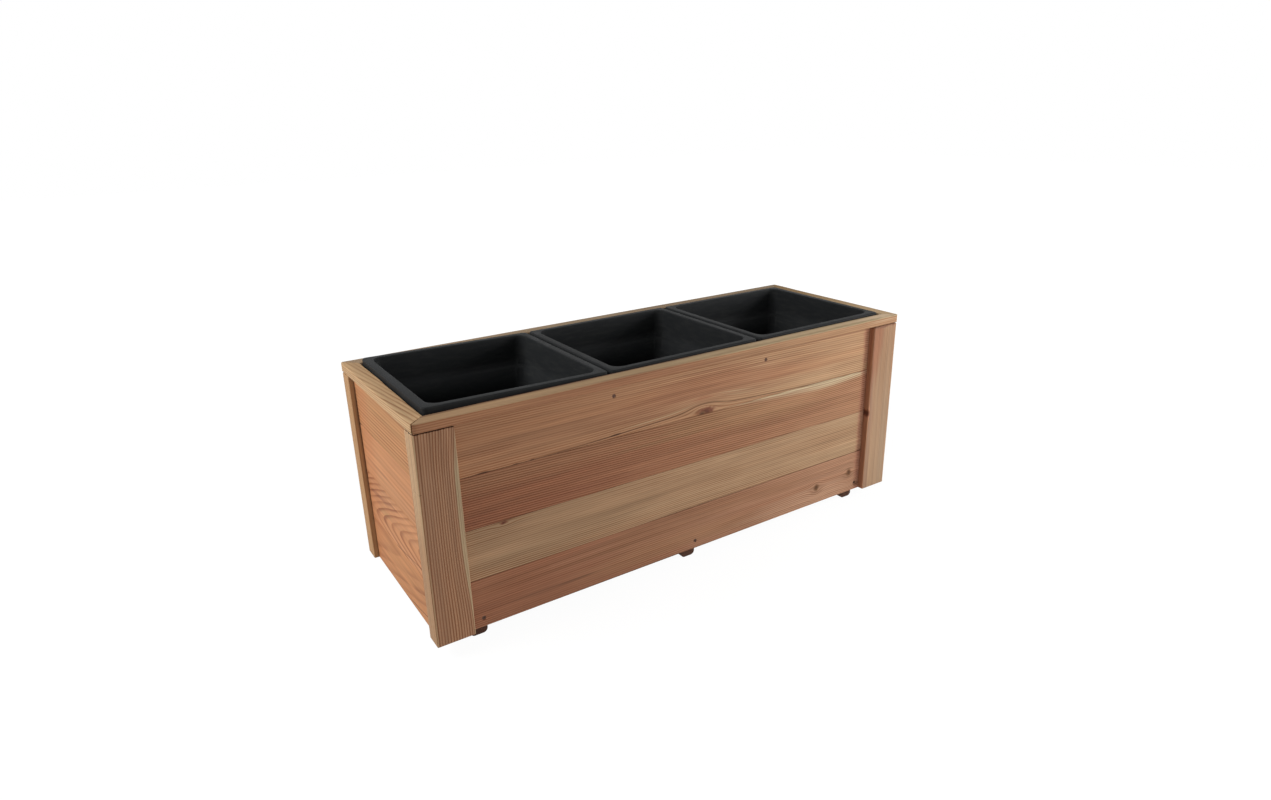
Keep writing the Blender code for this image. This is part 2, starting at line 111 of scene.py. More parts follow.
class Amount:
    """A number, colour or direction that is worked out at each point of a surface."""

    def __init__(self, nodes, socket):
        self.nodes = nodes
        self.socket = socket

    def math(self, operation, *others):
        return self.nodes.node("ShaderNodeMath", {"operation": operation}, [self, *others])

    def __add__(self, other):
        return self.math("ADD", other)

    __radd__ = __add__

    def __mul__(self, other):
        return self.math("MULTIPLY", other)

    __rmul__ = __mul__

    def __sub__(self, other):
        return self.math("SUBTRACT", other)

    def __rsub__(self, other):
        return self.nodes.node("ShaderNodeMath", {"operation": "SUBTRACT"}, [other, self])

    def __truediv__(self, other):
        return self.math("DIVIDE", other)

    def __pow__(self, other):
        return self.math("POWER", other)

    def root(self):
        return self.math("SQRT")

    def fades(self):
        """e to the power of minus this amount: 1 at 0, and soon nothing."""
        return (self * -1).math("EXPONENT")

    def rising(self, start, end):
        """0 below start, 1 above end, and a smooth step between them."""
        settings = {"interpolation_type": "SMOOTHSTEP"}
        return self.nodes.node("ShaderNodeMapRange", settings, [self, start, end])


print("an Amount understands + - * / and **")

# %% Nodes and finishes


class Nodes:
    """A tree of nodes, to which sums of amounts and `node` add."""

    def __init__(self, tree):
        self.tree = tree

    def feed(self, socket, value):
        """Links an amount to a socket, or sets the socket to a plain value."""
        if isinstance(value, Amount):
            self.tree.links.new(value.socket, socket)
        else:
            socket.default_value = value

    def node(self, kind, settings=None, inputs=(), output=0):
        """A node of this kind: its settings first, then a value or a link for each input."""
        made = self.tree.nodes.new(kind)
        for key, value in (settings or {}).items():
            setattr(made, key, value)
        pairs = inputs.items() if isinstance(inputs, dict) else enumerate(inputs)
        for key, value in pairs:
            self.feed(made.inputs[key], value)
        return Amount(self, made.outputs[output])


class Finish(Nodes):
    """A material with a Principled shader. plain holds the inputs that are the same all over."""

    def __init__(self, name, plain):
        self.material = bpy.data.materials.new(name)
        self.material.use_nodes = True
        super().__init__(self.material.node_tree)
        self.shader = self.tree.nodes["Principled BSDF"]
        for key, value in plain.items():
            self.feed(self.shader.inputs[key], value)
        self.place = self.node("ShaderNodeTexCoord", output="Object")

    def axes(self, place):
        """The three coordinates of a place, as amounts."""
        parts = [self.node("ShaderNodeSeparateXYZ", None, [place], axis) for axis in "XYZ"]
        return dict(zip("xyz", parts))

    def noise(self, stretch, seed, detail=2.0, rough=0.5):
        """Cloudy variation around 0. stretch gives the clouds per metre along X, Y and Z."""
        moved = {"Vector": self.place, "Location": (seed, 2 * seed, -seed), "Scale": stretch}
        spot = self.node("ShaderNodeMapping", None, moved)
        inputs = {"Vector": spot, "Scale": 1.0, "Detail": detail, "Roughness": rough}
        return self.node("ShaderNodeTexNoise", None, inputs) - 0.5

    def blend(self, share, first, second, kind="MIX"):
        """A colour between two others; the colours are (red, green, blue) or amounts.

        The Mix node has sockets for numbers and vectors too. Its colours are inputs 6 and 7, and
        their mix is output 2.
        """
        settings = {"data_type": "RGBA", "blend_type": kind, "clamp_factor": True}
        colours = [c if isinstance(c, Amount) else (*c, 1.0) for c in (first, second)]
        return self.node("ShaderNodeMix", settings, {0: share, 6: colours[0], 7: colours[1]}, 2)

    def shade(self, colour, strength):
        """A colour made lighter or darker by an amount around 1."""
        inputs = {"Vector": colour, "Scale": strength}
        return self.node("ShaderNodeVectorMath", {"operation": "SCALE"}, inputs)

    def show(self, colour, roughness, relief, relief_height, relief_strength=1.0):
        """Ends the finish: its colour, its roughness and its relief, a share of relief_height."""
        inputs = {"Strength": relief_strength, "Distance": relief_height, "Height": relief}
        bump = self.node("ShaderNodeBump", None, inputs)
        for key, value in (("Base Color", colour), ("Roughness", roughness), ("Normal", bump)):
            self.feed(self.shader.inputs[key], value)
        return self.material


print("a Finish adds its nodes by itself, and `show` ends it")

# %% [markdown]
# ## How a tree makes the pattern
#
# A board's figure isn't painted on it: it is what the saw found inside the trunk. A trunk is a
# stack of thin cones, one for each year, pale where it grew in spring and dark where it grew in
# summer. So the wood here is that trunk, worked out at every point in space. A board whose heart
# lay far to the side shows straight lines, one cut just beside the heart shows nested arches, and
# the lines meet at the edges and run on over the end grain, because they are the same cones.
#
# The distance from the heart, in years, gives the rings. A gentle wander bends the trunk, and its
# lean, the taper of the cones, closes the arches. Beyond a certain distance the wood is sapwood,
# which is pale. A knot is a branch: the lines flow round it, and its own wood is dark.

# %% Wood that knows its grain
SPRING_TO_SUMMER = (0.35, 0.85)  # the part of a year in which the wood turns dark
WINTER = 0.90  # and the sudden end of the year
PALEST_SUMMER = 0.55  # the darkness of the palest years, as a share of the darkest
KNOT_PUSH = 0.8  # how far a knot parts the lines, as a share of its half height
KNOT_REACH = 0.16  # the smaller it is, the further from a knot the lines bend
KNOT_EDGE = (0.50, 1.25)  # a knot gives way to the wood around it between these steps
PITH_EDGE = (0.15, 0.70)  # and its middle to the rest of it
PITH_SHADE = 0.4  # how much darker a knot is in its middle
WOOD_SHEEN = 0.16  # dry wood hardly shines


class Wood(Finish):
    """A finish that knows how the grain runs through a piece."""

    def __init__(self, node, axes, seed):
        super().__init__(f"{node}_wood", {"Specular IOR Level": WOOD_SHEEN})
        low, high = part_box(node)
        self.axis_names = axes
        self.middle = dict(zip("xyz", (low + high) / 2))
        self.half_length = (high - low)["xyz".index(axes[0])] / 2
        self.seed = seed
        parts = self.axes(self.place)
        self.along, self.across, self.deep = (parts[axis] - self.middle[axis] for axis in axes)

    def clouds(self, along, across, change=0.0, detail=2.0):
        """Noise with so many clouds per metre along the grain and across it."""
        by_axis = dict(zip(self.axis_names, (along, across, across)))
        return self.noise([by_axis[axis] for axis in "xyz"], self.seed + change, detail)

    def from_spot(self, spot, across):
        """Steps from the middle of an ellipse, which reach 1 at its edge, along and across."""
        spot_along, spot_across, half_long, half_high = spot
        step_along = (self.along - (spot_along - self.middle[self.axis_names[0]])) / half_long
        step_across = (across - (spot_across - self.middle[self.axis_names[1]])) / half_high
        return step_along, step_across

    def flow(self, slant, swells, knots):
        """The way across the face as the rings take it: pushed by swells and parted by knots.

        With r the steps from the middle of its ellipse, a swell takes off push e^(-r^2), and a
        knot takes off KNOT_PUSH * half height * step_across * e^(-KNOT_REACH r^2).
        """
        flow = self.across + self.along * slant
        for *spot, push in swells:
            step_along, step_across = self.from_spot(spot, self.across)
            flow = flow - (step_along**2 + step_across**2).fades() * push
        for *spot, _ in knots:
            step_along, step_across = self.from_spot(spot, self.across)
            reach = step_along**2 + step_across**2
            flow = flow - step_across * (reach * KNOT_REACH).fades() * (spot[3] * KNOT_PUSH)
        return flow

    def knot(self, spot, tone, streak):
        """How much of a point is knot, with a ragged edge, and the knot's colour there."""
        step_along, step_across = self.from_spot(spot, self.across)
        reach = (step_along**2 + step_across**2).root()
        reach = reach + self.clouds(160, 260, 5, 1.0) * 0.7 + streak * 0.5
        pith = 1 - PITH_SHADE * (1 - reach.rising(*PITH_EDGE))
        return 1 - reach.rising(*KNOT_EDGE), self.shade(tone, pith)

    def year_lines(self, radius, ring):
        """How dark a point's wood is: by the season in its year, and in some years more."""
        years = radius / ring
        this_year = years.math("FLOOR")
        age = years - this_year
        luck = self.node("ShaderNodeTexWhiteNoise", {"noise_dimensions": "1D"}, {"W": this_year})
        season = age.rising(*SPRING_TO_SUMMER) * (1 - age.rising(WINTER, 1.0))
        return season * (PALEST_SUMMER + (1 - PALEST_SUMMER) * luck)


print("along, across and deep: the three directions in a piece of wood")

# %% The wood recipe
SUMMER_TINT = (0.54, 0.40, 0.32)
FIBRE_SHADE = 0.30  # how far each of these changes the tone
STREAK_SHADE = 0.60
BAND_SHADE = 0.06
END_GRAIN_SHADE = 0.30
SAW_WAVES = 2600  # radians per metre, which is a ripple every 2.4 mm


def wood(
    node, axes, heart, ring, tones, seed, wander=0.012, ripple=0.0014, lean=0.0, slant=0.0,
    lines=1.0, patchy=0.5, saw=0.0, far_tone=None, sap=None, knots=(), swells=(), marks=(),
):
    """Softwood for a piece, from the cones of a trunk.

    axes names the directions of the grain, across the face and into it, such as "xzy". heart is
    where the tree's heart lay from the piece's middle (across, deep), and ring is the width of a
    year. With r the distance from the heart line, the year is (r + wander + lean * along) / ring,
    and its fraction, 0 in spring and 1 in winter, sets how dark the wood is. slant is how far the
    heart line turns across the face, ripple how far the lines tremble, lines how dark they are and
    patchy how much they fade in places. The wood's clouds mix its two tones, far_tone multiplies
    them towards the far end, and saw is the depth of the saw's ripples. sap is the sapwood's
    (distance from the heart, softness, tone). knots, swells and marks start with an ellipse
    (along, across, half length, half height) in the box's frame. Then a knot has its tone, a swell
    the distance by which it pushes the lines, and a mark its strength and its tone.
    """
    finish = Wood(node, axes, seed)
    slow = finish.clouds(1.4, 7)
    quick = finish.clouds(7, 40, 3)
    broad = finish.clouds(1.1, 26, 7)
    band = finish.clouds(2.2, 75, 23)
    patches = finish.clouds(5, 26, 29)
    streak = finish.clouds(4, 170, 17)
    fibre = finish.clouds(16, 900, 11, 1.0)

    flow = finish.flow(slant, swells, knots)
    from_heart = ((flow - heart[0]) ** 2 + (finish.deep - heart[1]) ** 2).root()
    radius = from_heart + slow * wander + quick * ripple + finish.along * lean
    line = finish.year_lines(radius, ring)
    line = line * (1 - patchy * (1 - patches.rising(-0.12, 0.12))) * lines

    colour = finish.blend(broad * 2.2 + 0.5, *tones)
    if sap:
        sap_from, softness, sap_tone = sap
        share = (radius + streak * softness).rising(sap_from, sap_from + softness)
        colour = finish.blend(share, colour, sap_tone)
        line = line * (1 - 0.5 * share)
    if far_tone:
        share = (finish.along + broad * 0.25).rising(-finish.half_length, finish.half_length)
        colour = finish.blend(share, colour, finish.blend(1.0, colour, far_tone, "MULTIPLY"))
    for *spot, strength, tone in marks:
        step_along, step_across = finish.from_spot(spot, flow - slow * 0.01)
        reach = (step_along**2 + step_across**2).root() + streak * 1.2 + quick * 0.8
        colour = finish.blend((1 - reach.rising(0.35, 1.05)) * strength, colour, tone)
    colour = finish.blend(line, colour, SUMMER_TINT, "MULTIPLY")
    grain = fibre * FIBRE_SHADE + streak * STREAK_SHADE + band * BAND_SHADE
    colour = finish.shade(colour, 1 + grain)
    for *spot, tone in knots:
        share, knot_colour = finish.knot(spot, tone, streak)
        colour = finish.blend(share, colour, knot_colour)
    facing = finish.axes(finish.node("ShaderNodeTexCoord", output="Normal"))[axes[0]]
    end_grain = facing.math("ABSOLUTE").rising(0.7, 0.95)
    colour = finish.shade(colour, 1 - END_GRAIN_SHADE * end_grain)
    relief = line * 0.05 + fibre * 0.10 + streak * 0.06
    if saw:
        waves = (finish.along * SAW_WAVES + quick * 9).math("SINE")
        teeth = waves * 0.5 + finish.clouds(500, 500) * 0.8
        relief = relief + teeth * saw
        colour = finish.shade(colour, 1 + teeth * 0.10 * saw)
    roughness = 0.70 + fibre * 0.25 + line * -0.08
    return finish.show(colour, roughness, relief, relief_height=0.0012)


print("a trunk's cones, worked out point by point")

# %% [markdown]
# ## Each piece is from its own tree
#
# No two boards here are alike: one is reddish heartwood, the next is straw-coloured, and a strip
# of pale sapwood runs along an edge. So each piece gets a finish of its own from the one recipe.
# A maker would say where the heart lay, how wide the years are, what tones the wood has and which
# knots and stains it got, and these calls say that, along with marks of painted light and shade.
# Places are in metres, in the box's own frame, and a tone is linear red, green and blue.

# %% Tones of the wood
KNOT = (0.190, 0.070, 0.038)
DARK_KNOT = (0.160, 0.074, 0.036)
PITCH = (0.080, 0.034, 0.018)
SAPWOOD = (0.46, 0.345, 0.205)
TAN = (0.380, 0.205, 0.110)
PEACH = (0.380, 0.180, 0.090)
RUSSET = (0.300, 0.130, 0.068)
CHESTNUT = (0.320, 0.160, 0.085)
STRAW = (0.440, 0.280, 0.160)
SAND = (0.400, 0.235, 0.130)
BRICK = (0.320, 0.135, 0.072)
ROSE = (0.350, 0.165, 0.095)
HONEY = (0.480, 0.265, 0.120)
AMBER = (0.470, 0.225, 0.100)
ORANGE = (0.540, 0.245, 0.108)
APRICOT = (0.520, 0.260, 0.130)
BROWN = (0.290, 0.155, 0.090)
DEEP_RED = (0.250, 0.100, 0.055)
ASH = (0.330, 0.225, 0.143)
BEIGE = (0.460, 0.290, 0.160)
CREAM = (0.620, 0.450, 0.270)
OAK = (0.350, 0.190, 0.110)
UMBER = (0.200, 0.095, 0.055)
# two tones darkened to paint shade: the feet under the box, and the cap's inner edge
PAINTED_SHADE_EARTH = (0.105, 0.048, 0.028)
PAINTED_SHADE_MAHOGANY = (0.130, 0.055, 0.032)
WHEAT = (0.590, 0.405, 0.225)
BISCUIT = (0.440, 0.270, 0.140)
LICHEN = (0.360, 0.265, 0.165)
# these two tones paint the reddish shadow beside the posts
POST_SHADOW_RED = (0.420, 0.185, 0.120)
BACK_POST_SHADOW_RED = (0.490, 0.198, 0.087)
CLAY = (0.355, 0.200, 0.102)
BRAN = (0.340, 0.215, 0.122)
FAWN = (0.450, 0.265, 0.165)
print("the palest tone is", CREAM, "and the darkest", PITCH)

# %% Dress a board


def dress(node, material):
    """Puts a finish on a piece of the construction that stays as it is."""
    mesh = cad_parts[node].data
    mesh.materials.clear()
    mesh.materials.append(material)


def board(node, marks=(), **recipe):
    """A wall board: its grain runs along the wall, and painted shade darkens the joint at its lower
    edge.

    Beside the posts a reddish painted shadow lies on the wood: on a front board beside the right
    post, and on a left board beside the back post.
    """
    axes = "xzy" if node.startswith(("front", "back")) else "yzx"
    # painted shade in the joint along the board's lower edge
    more = [(0.0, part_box(node)[0].z, 5.0, 0.0013, 0.7, PITCH)]
    # a reddish painted shadow beside the right post, on a front board
    if node.startswith("front"):
        more.append((0.433, 0.2, 0.015, 5.0, 0.6, POST_SHADOW_RED))
    # a reddish painted shadow beside the back post, on a left board
    if node.startswith("left"):
        more.append((0.125, 0.2, 0.06, 5.0, 0.5, BACK_POST_SHADOW_RED))
    dress(node, wood(node, axes, marks=[*more, *marks], **recipe))


# the dark joint and the red beside the posts are painted shade
print("a board gets dirt in its joint, and stays redder beside a post")

# %% Boards of the front wall
UNDER_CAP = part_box("cap_rail_front")[0].z
UPPER_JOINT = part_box("front_board_1")[0].z
MIDDLE_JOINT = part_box("front_board_2")[0].z
LOWER_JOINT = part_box("front_board_3")[0].z
# paler towards the right end: partly the wood, partly painted light that adds to the right lamp's
# brightening
PALE_TO_THE_RIGHT = (1.05, 1.24, 1.30)

board(
    "front_board_1", heart=(0.3, 0.05), ring=0.0038, tones=(TAN, PEACH), seed=2.0,
    far_tone=PALE_TO_THE_RIGHT, lean=-0.01, wander=0.016, lines=1.15,
    swells=[(0.03, UPPER_JOINT, 0.19, 0.06, 0.01)],
    knots=[
        (0.027, UPPER_JOINT + 0.003, 0.0205, 0.01, KNOT),
        (0.018, UPPER_JOINT + 0.001, 0.009, 0.0045, DARK_KNOT),
    ],
    marks=[
        (-0.25, UPPER_JOINT + 0.035, 0.4, 0.02, 0.6, CHESTNUT),
        (0.27, UPPER_JOINT + 0.035, 0.16, 0.016, 0.4, PEACH),
        (0.3, UPPER_JOINT + 0.0115, 0.26, 0.014, 0.5, BEIGE),
        (0.155, UPPER_JOINT + 0.065, 0.06, 0.014, 0.5, BEIGE),
        # painted shadow under the overhang of the cap
        (0.33, UNDER_CAP - 0.0065, 0.25, 0.003, 0.6, UMBER),
        (-0.396, UPPER_JOINT + 0.0005, 0.02, 0.0026, 1.0, PITCH),
        (-0.342, UPPER_JOINT + 0.0005, 0.012, 0.0018, 0.9, PITCH),
        (-0.314, UPPER_JOINT + 0.0005, 0.008, 0.0016, 0.8, PITCH),
        (-0.16, UPPER_JOINT + 0.0005, 0.014, 0.002, 0.9, PITCH),
        (0.04, UPPER_JOINT + 0.04, 0.28, 0.04, 0.45, BRICK),
        (0.02, UPPER_JOINT + 0.015, 0.03, 0.008, 0.5, BRICK),
        (0.09, UPPER_JOINT + 0.019, 0.05, 0.003, 0.35, SAPWOOD),
        (0.105, UPPER_JOINT + 0.013, 0.04, 0.002, 0.35, SAPWOOD),
        (-0.07, UPPER_JOINT + 0.006, 0.09, 0.0025, 0.4, SAPWOOD),
    ],
)
board(
    "front_board_2", heart=(-0.3, 0.03), ring=0.004, tones=(RUSSET, BRICK), seed=5.0,
    far_tone=(1.14, 1.4, 1.44), lean=0.03, wander=0.006, lines=1.9,
    sap=(0.3385, 0.014, (0.435, 0.28, 0.172)),
    swells=[(0.3, UPPER_JOINT, 0.12, 0.05, -0.006), (0.47, UPPER_JOINT, 0.08, 0.05, 0.007)],
    marks=[
        (-0.2, UPPER_JOINT - 0.014, 0.6, 0.024, 0.9, CHESTNUT),
        (0.1, UPPER_JOINT - 0.021, 0.34, 0.026, 0.7, CLAY),
        (-0.3, MIDDLE_JOINT + 0.014, 0.3, 0.012, 0.5, DEEP_RED),
    ],
)
board(
    "front_board_3", heart=(0.26, 0.06), ring=0.0036, tones=(STRAW, SAND), seed=9.0,
    far_tone=(0.9, 0.94, 0.95), lean=-0.004, wander=0.01, lines=1.2,
    knots=[(-0.37, MIDDLE_JOINT - 0.003, 0.0075, 0.0032, KNOT)],
    marks=[
        (-0.28, MIDDLE_JOINT - 0.044, 0.2, 0.09, 0.6, BRAN),
        (0.43, LOWER_JOINT, 0.012, 0.0028, 0.9, PITCH),
    ],
)
board(
    "front_board_4", heart=(-0.22, 0.05), ring=0.0038, tones=(BRICK, ROSE), seed=13.0,
    far_tone=PALE_TO_THE_RIGHT, lean=0.003, wander=0.014, lines=1.2,
    knots=[
        (0.3125, 0.0595, 0.0072, 0.0085, DARK_KNOT),
        (0.405, 0.0685, 0.0072, 0.0085, DARK_KNOT),
    ],
    marks=[
        (-0.06, 0.052, 0.24, 0.03, 0.6, TAN),
        (0.29, 0.038, 0.16, 0.036, 0.9, FAWN),
        (-0.4, 0.091, 0.14, 0.025, 0.6, RUSSET),
        (0.0, 0.091, 0.35, 0.022, 0.6, CHESTNUT),
        (-0.255, 0.05, 0.05, 0.003, 0.8, UMBER),
        (-0.31, 0.05, 0.07, 0.009, 0.4, UMBER),
        (0.3125, 0.0595, 0.026, 0.01, 0.5, BROWN),
        (0.405, 0.0685, 0.02, 0.01, 0.5, BROWN),
        (0.4285, 0.0385, 0.01, 0.008, 0.7, UMBER),
    ],
)
print("the front wall's boards are dressed")

# %% Boards of the left wall
LEFT_UPPER_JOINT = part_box("left_board_1")[0].z
LEFT_MIDDLE_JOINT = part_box("left_board_2")[0].z

board(
    "left_board_1", heart=(-0.2, 0.06), ring=0.006, tones=(HONEY, AMBER), seed=21.0,
    wander=0.01, lines=1.1, marks=[(0.145, LEFT_UPPER_JOINT, 0.014, 0.0022, 1.0, PITCH)],
)
board(
    "left_board_2", heart=(0.12, 0.03), ring=0.0095, tones=(ORANGE, APRICOT), seed=24.0,
    wander=0.014, lines=0.4, patchy=0.9,
    marks=[
        (0.06, 0.235, 0.1, 0.004, 0.4, BRICK),
        (0.145, LEFT_MIDDLE_JOINT, 0.014, 0.0022, 1.0, PITCH),
    ],
)
board(
    "left_board_3", heart=(-0.015, 0.004), ring=0.011, tones=(APRICOT, ORANGE), seed=27.0,
    lean=0.25, slant=0.12, wander=0.012, ripple=0.003, lines=1.2,
    marks=[(0.06, 0.184, 0.12, 0.006, 0.6, BRICK), (0.06, 0.158, 0.05, 0.009, 0.6, HONEY)],
)
board(
    "left_board_4", heart=(0.03, 0.01), ring=0.019, tones=(ORANGE, AMBER), seed=31.0,
    lean=-0.12, slant=0.15, wander=0.02, ripple=0.003, lines=0.7, patchy=0.8,
)
print("the left wall's boards are dressed")

# %% Boards of the back and right walls
board("back_board_1", heart=(0.25, -0.04), ring=0.003, tones=(TAN, STRAW), seed=41.0, lines=0.6)
board(
    "back_board_2", heart=(0.01, -0.075), ring=0.004, tones=(ROSE, TAN), seed=44.0,
    lean=0.05, lines=0.9, knots=[(0.205, 0.246, 0.0085, 0.0065, DARK_KNOT)],
)
board(
    "back_board_3", heart=(-0.28, -0.03), ring=0.0028, tones=(RUSSET, CHESTNUT), seed=47.0,
    lines=0.7,
)
board(
    "back_board_4", heart=(0.24, -0.05), ring=0.003, tones=(SAND, PEACH), seed=51.0, lines=0.6,
    knots=[(-0.285, 0.066, 0.007, 0.0055, DARK_KNOT)],
)
board("right_board_1", heart=(-0.24, -0.05), ring=0.0034, tones=(TAN, HONEY), seed=54.0, lines=0.6)
board("right_board_2", heart=(0.2, -0.03), ring=0.003, tones=(ROSE, BRICK), seed=57.0, lines=0.7)
board(
    "right_board_3", heart=(0.0, -0.085), ring=0.0042, tones=(STRAW, SAND), seed=61.0,
    lean=-0.06, lines=0.9,
)
board("right_board_4", heart=(-0.2, -0.04), ring=0.0032, tones=(ROSE, PEACH), seed=64.0, lines=0.6)
print("all sixteen boards are dressed")

# %% [markdown]
# ## Surfaces from arrays
#
# The posts, the cap, the feet, the pots and the screws get finer surfaces than the construction
# has. Each is a profile carried along a path: an outline of so many points, at so many stations
# along the piece, held in one numpy array of stations x points x 3. Every round edge is worked
# out for all stations at once, so an edge can be eased a little more here and a little less there,
# as it is on planed wood.

# %% From arrays to pieces
ARC_STEPS = 6


def eased_outline(corners):
    """An outline of right-angled corners, rounded, at every station at once.

    Each corner is (x, y, radius), and each of them a number or an array over the stations. With
    b and a the directions to the corners before and after, and r the radius, the arc's centre is
    corner + (a + b) r, and its points are centre - a r cos t - b r sin t, for t from 0 to 90
    degrees. The result has stations x points x 2 numbers.
    """
    stations = max(np.size(value) for corner in corners for value in corner)
    flat = np.array([[np.broadcast_to(value, stations) for value in corner] for corner in corners])
    spot = flat[:, :2]
    before = np.sign((np.roll(spot, 1, 0) - spot).round(9))
    after = np.sign((np.roll(spot, -1, 0) - spot).round(9))
    sweep = np.linspace(0, np.pi / 2, ARC_STEPS + 1)[:, None, None]
    points = []
    for corner, back, ahead, radius in zip(spot, before, after, flat[:, 2]):
        if radius.max() == 0:
            points.append(corner[None])
            continue
        centre = corner + (ahead + back) * radius
        points.append(centre - ahead * radius * np.cos(sweep) - back * radius * np.sin(sweep))
    return np.concatenate(points).transpose(2, 0, 1)


def uneven(count, seed, waves=7):
    """A smooth wobble between about -1 and 1: a few sine waves of random size and phase."""
    draw = np.random.default_rng(int(seed))
    along = np.linspace(0, 2 * np.pi, count)
    turns = np.arange(1, waves + 1)
    sizes = draw.normal(size=waves) / np.sqrt(turns)
    phases = draw.uniform(0, 2 * np.pi, waves)
    return (sizes[:, None] * np.sin(turns[:, None] * along + phases[:, None])).sum(0) / 2


def carried_faces(stations, count):
    """Quads between each outline and the next, and a flat face over the first and the last."""
    first = np.arange(stations - 1)[:, None] * count + np.arange(count)
    second = np.arange(stations - 1)[:, None] * count + (np.arange(count) + 1) % count
    quads = np.stack([first, second, second + count, first + count], -1).reshape(-1, 4)
    ends = [list(range(count)), list(range((stations - 1) * count, stations * count))]
    return quads.tolist() + ends


def piece(name, points, faces, body, replaced, material, smooth_below=40):
    """A finished piece at its place: outward faces, smooth where they meet below this angle."""
    mesh = bpy.data.meshes.new(name)
    mesh.from_pydata(points.reshape(-1, 3).tolist(), [], faces)
    shape = bmesh.new()
    shape.from_mesh(mesh)
    bmesh.ops.recalc_face_normals(shape, faces=shape.faces)
    shape.to_mesh(mesh)
    shape.free()
    mesh.shade_smooth()
    mesh.set_sharp_from_angle(angle=math.radians(smooth_below))
    mesh.materials.append(material)
    made = bpy.data.objects.new(name, mesh)
    bpy.context.scene.collection.objects.link(made)
    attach(made, body)
    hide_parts(*replaced)
    return made


print("a rounded edge has", ARC_STEPS + 1, "points")

# %% [markdown]
# ## Corner posts
#
# A post is a planed bar with two grooves that take the ends of the boards. Its outer edges were
# eased by hand, so the rounding isn't quite the same all the way down, and it ends in a small
# rounding above the ground. A plain box with a Bevel would be even everywhere. Here the outline
# is carried up the post, and the radius of its three outer edges follows a smooth wobble.

# %% The shape of a post
POST_ROUND = 0.0013
POST_END_ROUND = 0.0016
GROOVE_DEPTH = 0.010
GROOVE_HALF = 0.0043
LONG_GROOVE = 0.021  # from the post's front face to the middle of the groove for the long wall
END_GROOVE = 0.018
POST_TOP_GAP = 0.0018  # the cap rests on the boards and clears the posts
POST_STATIONS = 72
POST_WOBBLE = 0.28  # how uneven the rounding is, as a share of it
DENT_REACH = 0.0022  # up and down from the middle of a dent


def eased_ends(length, ease, stations):
    """Heights along a bar, and how far its outline is drawn in there.

    At each end it follows a quarter round: the height is ease (1 - sin t) from the end, and the
    outline is drawn in by ease (1 - cos t).
    """
    turn = np.linspace(0, np.pi / 2, 5)
    low = ease * (1 - np.sin(turn[::-1]))
    inset = ease * (1 - np.cos(turn[::-1]))
    between = np.linspace(ease, length - ease, stations)[1:-1]
    heights = np.concatenate([low, between, length - low[::-1]])
    return heights, np.concatenate([inset, np.zeros(between.size), inset[::-1]])


def post(name, seed, dent=None, inner_ease=1.0, **recipe):
    """A post from its outline at each height, measured inwards from the post's outer corner.

    A dent is (height, depth) in the outer edge of its broad face. It adds depth e^(-(h / reach)^2)
    to that edge's radius, with h the height from its middle. The broad face's inner edge is
    rounded inner_ease times as much as the others.
    """
    low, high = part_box(name)
    width, depth, height = high - low
    side_x = 1 if low.x + high.x > 0 else -1
    side_y = 1 if low.y + high.y > 0 else -1
    heights, inset = eased_ends(height - POST_TOP_GAP, POST_END_ROUND, POST_STATIONS)
    wobbles = [POST_WOBBLE * uneven(heights.size, seed + edge) for edge in range(3)]
    rounds = [POST_ROUND * (1 + wobble) for wobble in wobbles]
    rounds[1] = rounds[1] * inner_ease
    if dent:
        rounds[0] = rounds[0] + dent[1] * np.exp(-(((heights - dent[0]) / DENT_REACH) ** 2))
    corners = [
        (inset, inset, rounds[0]),
        (width - inset, inset, rounds[1]),
        (width - inset, LONG_GROOVE - GROOVE_HALF, 0),
        (width - GROOVE_DEPTH, LONG_GROOVE - GROOVE_HALF, 0),
        (width - GROOVE_DEPTH, LONG_GROOVE + GROOVE_HALF, 0),
        (width - inset, LONG_GROOVE + GROOVE_HALF, 0),
        (width - inset, depth - inset, 0),
        (END_GROOVE + GROOVE_HALF, depth - inset, 0),
        (END_GROOVE + GROOVE_HALF, depth - GROOVE_DEPTH, 0),
        (END_GROOVE - GROOVE_HALF, depth - GROOVE_DEPTH, 0),
        (END_GROOVE - GROOVE_HALF, depth - inset, 0),
        (inset, depth - inset, rounds[2]),
    ]
    outline = eased_outline(corners)
    corner_x = high.x if side_x > 0 else low.x
    corner_y = high.y if side_y > 0 else low.y
    points = np.empty((*outline.shape[:2], 3))
    points[..., 0] = corner_x - side_x * outline[..., 0]
    points[..., 1] = corner_y - side_y * outline[..., 1]
    points[..., 2] = low.z + heights[:, None]
    faces = carried_faces(*outline.shape[:2])
    material = wood(name, "zxy", seed=seed, **recipe)
    return piece(f"{name}_eased", points, faces, "box", [name], material)


print("a post's outline has", 9 + 3 * (ARC_STEPS + 1), "points")

# %% Make the posts
post(
    "post_front_left", seed=71.0, dent=(0.2605, 0.0008),
    heart=(-0.115, 0.06), ring=0.0031, tones=(OAK, TAN), far_tone=(1.08, 1.12, 1.14),
    lean=-0.01, wander=0.005, lines=1.6, patchy=0.2, sap=(0.1565, 0.002, (0.41, 0.29, 0.172)),
    swells=[(0.385, -0.437, 0.045, 0.04, 0.006), (0.0245, -0.437, 0.11, 0.04, 0.009)],
    marks=[
        (0.35, -0.47, 0.05, 0.06, 0.4, CHESTNUT),
        # painted light: the left face and its outer edge paler
        (0.2, -0.5, 2.0, 0.003, 0.9, BEIGE),
        (0.285, -0.4985, 0.001, 0.003, 0.8, PITCH),
        # painted light: the left face paler towards the top
        (0.33, -0.5, 0.15, 0.003, 0.5, CREAM),
        # painted shade in the gap under the cap
        (0.3778, -0.47, 0.0014, 0.06, 1.0, PITCH),
    ],
)
